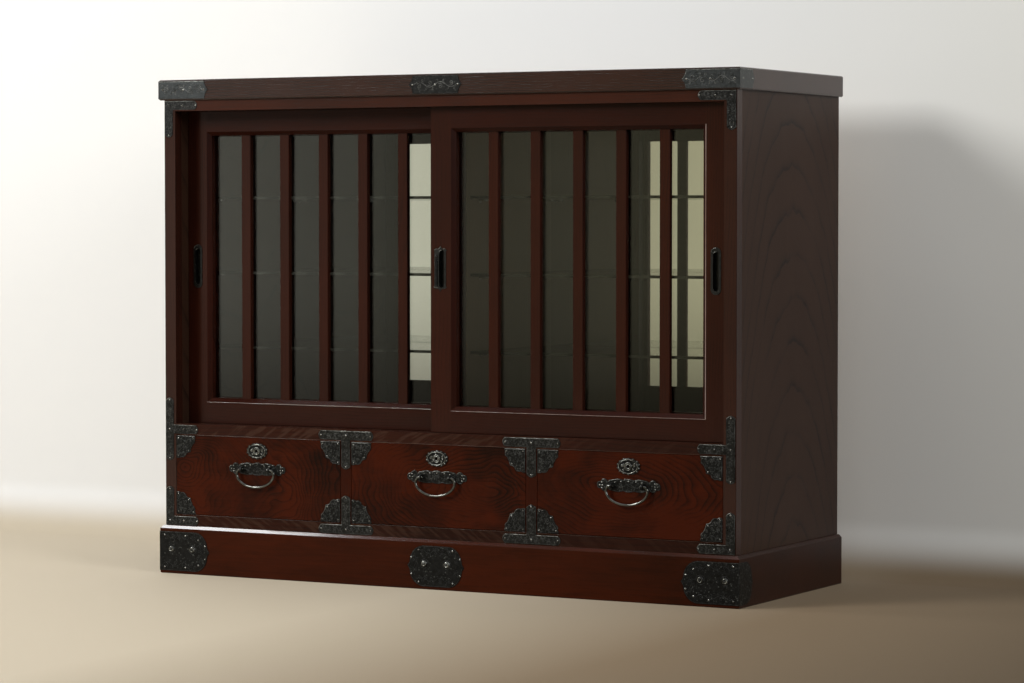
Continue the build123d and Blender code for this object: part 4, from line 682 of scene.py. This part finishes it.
# Pale glossy lacquer for the painted glint along the door arris.
arris_glint_lacquer = lacquered_zelkova("arris_glint_lacquer", "Z", (-0.27, 0.25), (0.40, 0.31, 0.28),
                                     (0.20, 0.12, 0.095), spacing=0.03, gloss=0.14, shine=0.8,
                                     coat=0.5)
pull_iron = black_iron("pull_iron", 0.002, 0.006, ground=0.4, specks=0.25, shine=0.3, dull=0.22)
pane_glass = thin_glass("pane_glass", (0.95, 0.96, 0.95), "Y", (0.35, 0.45, 0.40))
arris_from_bead = 3.4
pull_rise = 1.0
for door in ("left_door", "right_door"):
    surface(door_upright, door + "_stiles", door + "_bars")
    surface(door_across, door + "_rails", door + "_beads")
    surface(pane_glass, door + "_pane")
    surface(pull_iron, door + "_pulls")
    pull_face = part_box(door + "_stiles")[0].y / MM - pull_rise
    # The edges of each pull that face up and left get painted glints in bright iron.
    edges = plate_edges(door + "_pulls", 1, pull_face, inset=1.0, worn=True)
    chased(door + "_pull_glints", edges, door, edge_glint_iron, half_width=0.6, height=0.4)

    # The arris outside the bevel carries a bright painted glint along the right stile and the
    # bottom rail.
    low, high = (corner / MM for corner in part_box(door + "_beads"))
    right, bottom = high.x + arris_from_bead, low.z - arris_from_bead
    arris = [[(right, high.z + arris_from_bead), (right, bottom)],
             [(right, bottom), (low.x - arris_from_bead, bottom)]]
    chased(door + "_arris", on_front(arris, pull_face + pull_rise), door, arris_glint_lacquer,
           half_width=0.9, height=0.4)


# ---- drawers -------------------------------------------------------------------------------
# Three flush drawers dovetailed behind figured fronts, cut so that the rings close into eyes.
# The fronts carry a flower escutcheon, a pierced handle plate and fan-shaped corner plates.
def fan_work(x, z, sx, sz):
    """The chased lines and the tack places of a corner plate, from its corner (x, z) inwards."""
    def at(dx, dz):
        return (x - sx * dx, z + sz * dz)

    turn = sx * sz
    lines = vine(*at(4, 9), *at(42, 9), 15) + vine(*at(9, 18), *at(9, 43), 14)
    lines += [spiral(*at(23, 25), 8, 1.5, 0.6, 1.7, turn),
              spiral(*at(34, 19), 4, 1, 2.0, 1.0, -turn, 12),
              spiral(*at(18, 36), 4, 1, 4.0, 1.0, -turn, 12)]
    return lines, [at(dx, dz) for dx, dz in ((43, 5), (5, 43), (31, 31), (5, 5))]


drawer_eyes = {"drawer_left": (-0.615, 0.215, 0.50, 0.10, 0.048),
               "drawer_centre": (0.115, 0.215, 0.45, 1.30, 0.040),
               "drawer_right": (0.410, 0.225, 0.36, 2.45, 0.026)}
bail_iron = black_iron("bail_iron", 0.070, 0.145, ground=0.0, specks=0.0, metal=0.9, dull=0.12,
                       vary=0.08)
drawer_pitch = 437.33
half_front = 204.9
front_top = 295.7
front_bottom = 128.3
lock_z = 269.0
hinge_z = 230.0
petal_y = -246.0
rim_y = -247.4
collar_y = -248.0
petals = 14
for column, (drawer, (eye_x, eye_z, lean, seed, wander)) in enumerate(drawer_eyes.items()):
    x = (column - 1) * drawer_pitch
    eye_y = CASE_FACE * MM + lean * (eye_x + seed)
    surface(lacquered_zelkova(drawer + "_lacquer", "X", (eye_y, eye_z), (0.047, 0.0078, 0.0024),
                              (0.0095, 0.0038, 0.0023), lean=(lean, 0.0), spacing=0.0068,
                              wander=wander, swirl=9.0, ring_depth=0.62, tone=1.4, patches=9.0,
                              flow=0.8, shine=0.05, coat=0.0, seed=seed), drawer + "_front")
    surface(cedar_deep, drawer + "_box")
    surface(plate_iron, drawer + "_iron", drawer + "_handle_plate")
    surface(bail_iron, drawer + "_bail")
    # The upper left edges of the fans and handle plates get painted glints in bright iron.
    edges = []
    lines = []
    for plate in ("_iron", "_handle_plate"):
        lines += plate_edges(drawer + plate, 1, CASE_FACE)
        edges += plate_edges(drawer + plate, 1, CASE_FACE, inset=0.8, worn=True)
    chased(drawer + "_edge_glints", edges, drawer, edge_glint_iron, half_width=0.35, height=0.35)

    # Each fan has a vine along both straight edges, three tendrils and four tacks.
    tacks = []
    for sx in (-1, 1):
        for z, sz in ((front_top, -1), (front_bottom, 1)):
            fan_lines, fan_tacks = fan_work(x + sx * half_front, z, sx, sz)
            lines += on_front(fan_lines, CASE_FACE)
            tacks += [(tack_x, CASE_FACE, tack_z, OUT) for tack_x, tack_z in fan_tacks]
    lines += on_front(vine(x - 46, hinge_z, x + 46, hinge_z, 20), CASE_FACE)
    chased(drawer + "_chasing", lines, drawer, chased_iron, height=0.35)

    # The escutcheon's petals are beaded, its rim and collar are turned, with scrolls beside them.
    collars = [hoop(x, lock_z, 21.0, 13.6, rim_y)]
    collars += [hoop(x, lock_z, radius, radius, collar_y) for radius in (7.3, 4.4)]
    for sx in (-1, 1):
        collars += on_front([spiral(x + sx * 13.4, lock_z + 1.6, 4.4, 0.9, 1.2, 1.5, sx, 16),
                             spiral(x + sx * 10.6, lock_z - 6.0, 2.4, 0.7, 3.0, 1.0, -sx, 10)],
                            petal_y)
    chased(drawer + "_lock_rings", collars, drawer, rubbed_iron, half_width=0.7, height=0.6)
    beads = []
    for i in range(petals):
        angle = (i + 0.5) * 2 * math.pi / petals
        beads.append((x + 24.2 * math.cos(angle), petal_y, lock_z + 15.8 * math.sin(angle), OUT))
    nail_heads(drawer + "_lock_beads", beads, drawer, rubbed_iron, radius=1.35, rise=1.1)

    tacks.append((x, CASE_FACE, hinge_z + 9.5, OUT))
    for dx, dz in ((17, 8.5), (30, 7), (58, 0), (64, 0), (59, 6), (59, -5)):
        tacks += [(x + side * dx, CASE_FACE, hinge_z + dz, OUT) for side in (-1, 1)]
    nail_heads(drawer + "_tacks", tacks, drawer, rubbed_iron, radius=1.6, rise=1.2)


# ---- floor, backdrop and light -------------------------------------------------------------
# A pale sweep behind the cabinet, clear from its far side, with painted shade to the right; soft
# lamps.
# A glowing sheet out of sight to the left is painted as a warm pale wall with its shade: it is what
# the mirrors and the panes show.
def graded_paint(name, wall, floor, floor_top, dusk=None):
    """Matt paint, wall over floor, graded along x so that shade can be painted in; with a dusk it
    is a painted glow, dim at the head.
    """
    paint = Finish(name)
    x, _, z = paint.split(paint.place())

    def along(places):
        """Runs through the colours given as (x, colour)."""
        first, last = places[0][0], places[-1][0]
        stops = [((at - first) / (last - first), colour) for at, colour in places]
        return paint.ramp(paint.spread(x, first, last), *stops)

    rise = paint.spread(z, *floor_top, interpolation_type="SMOOTHSTEP")
    colour = paint.mixed(rise, along(floor), along(wall))
    if dusk:
        paint.tree.nodes.remove(paint.shader)
        strength = paint.spread(z, *dusk, 1.0, 0.3)
        paint.show(paint.add("Emission", {"Color": colour, "Strength": strength}))
        return paint.material
    set_inputs(paint.shader, {"Base Color": colour, "Roughness": 0.7, "Specular IOR Level": 0.2})
    from_behind = paint.add("NewGeometry").outputs["Backfacing"]
    paint.show_mixed(from_behind, paint.shader, paint.add("BsdfTransparent"))
    return paint.material


def stage_object(name, points, faces, paint):
    """Puts a painted sheet of the studio in the scene."""
    mesh = bpy.data.meshes.new(name)
    mesh.from_pydata(points, [], faces)
    mesh.materials.append(paint)
    sheet = bpy.data.objects.new(name, mesh)
    bpy.context.scene.collection.objects.link(sheet)
    return sheet


floor_end = 0.30
bend = 0.12
profile = [(-9.0, 0.0), (floor_end, 0.0)]
for i in range(1, 13):
    angle = i * math.pi / 24
    profile.append((floor_end + bend * math.sin(angle), bend * (1 - math.cos(angle))))
profile.append((floor_end + bend, 5.0))
count = len(profile)
# Painted shade: the wall greys towards the right, and the floor darkens from under the cabinet to
# the right as a painted shadow.
sweep_paint_shaded = graded_paint(
    "sweep_paint_shaded",
    [(-3.0, (0.80, 0.80, 0.795)), (0.2, (0.80, 0.80, 0.79)), (1.2, (0.76, 0.755, 0.71)),
     (3.0, (0.66, 0.65, 0.60))],
    [(-3.0, (0.50, 0.435, 0.335)), (0.0, (0.50, 0.43, 0.325)), (0.8, (0.20, 0.145, 0.090)),
     (1.6, (0.08, 0.055, 0.030))], (0.01, 0.10))
sweep = stage_object("sweep", [(x, y, z) for x in (-9.0, 9.0) for y, z in profile],
                     [(i, i + count, i + count + 1, i + 1) for i in range(count - 1)], sweep_paint_shaded)
for face in sweep.data.polygons:
    face.use_smooth = True

# A glowing sheet, no lamp: its colours paint a lit room with darker parts, and it is dimmed above
# about 1.2 m.
far_wall_glow = graded_paint(
    "far_wall_glow",
    [(-4.6, (0.95, 0.95, 0.85)), (-3.8, (0.87, 0.85, 0.71)), (-3.5, (0.73, 0.715, 0.59)),
     (-3.36, (0.71, 0.695, 0.56)), (-3.2, (0.50, 0.485, 0.375)), (-2.93, (0.37, 0.345, 0.25)),
     (-2.65, (0.47, 0.445, 0.305)), (-2.4, (0.51, 0.48, 0.32)), (-2.2, (0.46, 0.43, 0.275)),
     (-1.5, (0.38, 0.35, 0.21))],
    [(-8.0, (0.16, 0.145, 0.115)), (-3.4, (0.16, 0.145, 0.115)), (-2.9, (0.07, 0.062, 0.045)),
     (0.0, (0.08, 0.07, 0.055))], (-0.35, 0.60), dusk=(1.13, 1.24))
far_wall_glow.cycles.emission_sampling = "NONE"
card = stage_object("far_wall",
                    [(-8.0, -3.2, -0.4), (-0.9, -6.4, -0.4), (-0.9, -6.4, 3.2), (-8.0, -3.2, 3.2)],
                    [(0, 1, 2, 3)], far_wall_glow)
card.visible_camera = False
card.visible_diffuse = False
card.visible_shadow = False


def lamp(name, place, aim, size, power, colour=(1, 1, 1)):
    """A soft square lamp that faces a point."""
    light = bpy.data.lights.new(name, "AREA")
    light.size = size
    light.energy = power
    light.color = colour
    stand = bpy.data.objects.new(name, light)
    stand.location = place
    stand.rotation_euler = (Vector(aim) - Vector(place)).to_track_quat("-Z", "Y").to_euler()
    bpy.context.scene.collection.objects.link(stand)


lamp("key", (-2.9, -3.5, 2.9), (-0.2, 0.0, 0.6), 1.6, 188, (1.0, 1.0, 0.985))
lamp("fill", (6.4, -2.4, 3.4), (0.4, 0.0, 0.5), 3.0, 225, (0.96, 0.98, 1.0))
lamp("top", (0.2, -1.4, 5.0), (0.0, 0.2, 0.0), 3.6, 48)
lamp("skylight", (-3.4, -0.75, 4.3), (0.0, -0.2, 0.3), 0.8, 40)

world = bpy.data.worlds.new("room")
world.use_nodes = True
set_inputs(world.node_tree.nodes["Background"], {"Color": (0.18, 0.18, 0.18, 1), "Strength": 1.0})
bpy.context.scene.world = world
bpy.context.scene.view_settings.view_transform = "Standard"

lens = bpy.data.cameras.new("camera")
lens.sensor_width = 36.0
lens.lens = 114.85
camera = bpy.data.objects.new("camera", lens)
camera.location = (3.328, -6.0155, 0.7677)
tilt_down = 2.231
turn_left = 28.654
camera.rotation_euler = (math.radians(90 - tilt_down), 0.0, math.radians(turn_left))
bpy.context.scene.collection.objects.link(camera)
bpy.context.scene.camera = camera


# ---- last update ---------------------------------------------------------------------------
# The scene is brought up to date at the end.
# The box of the dressed cabinet is that of its bare solids, because nothing laid on the wood or the
# iron stands out past them.
bpy.context.view_layer.update()
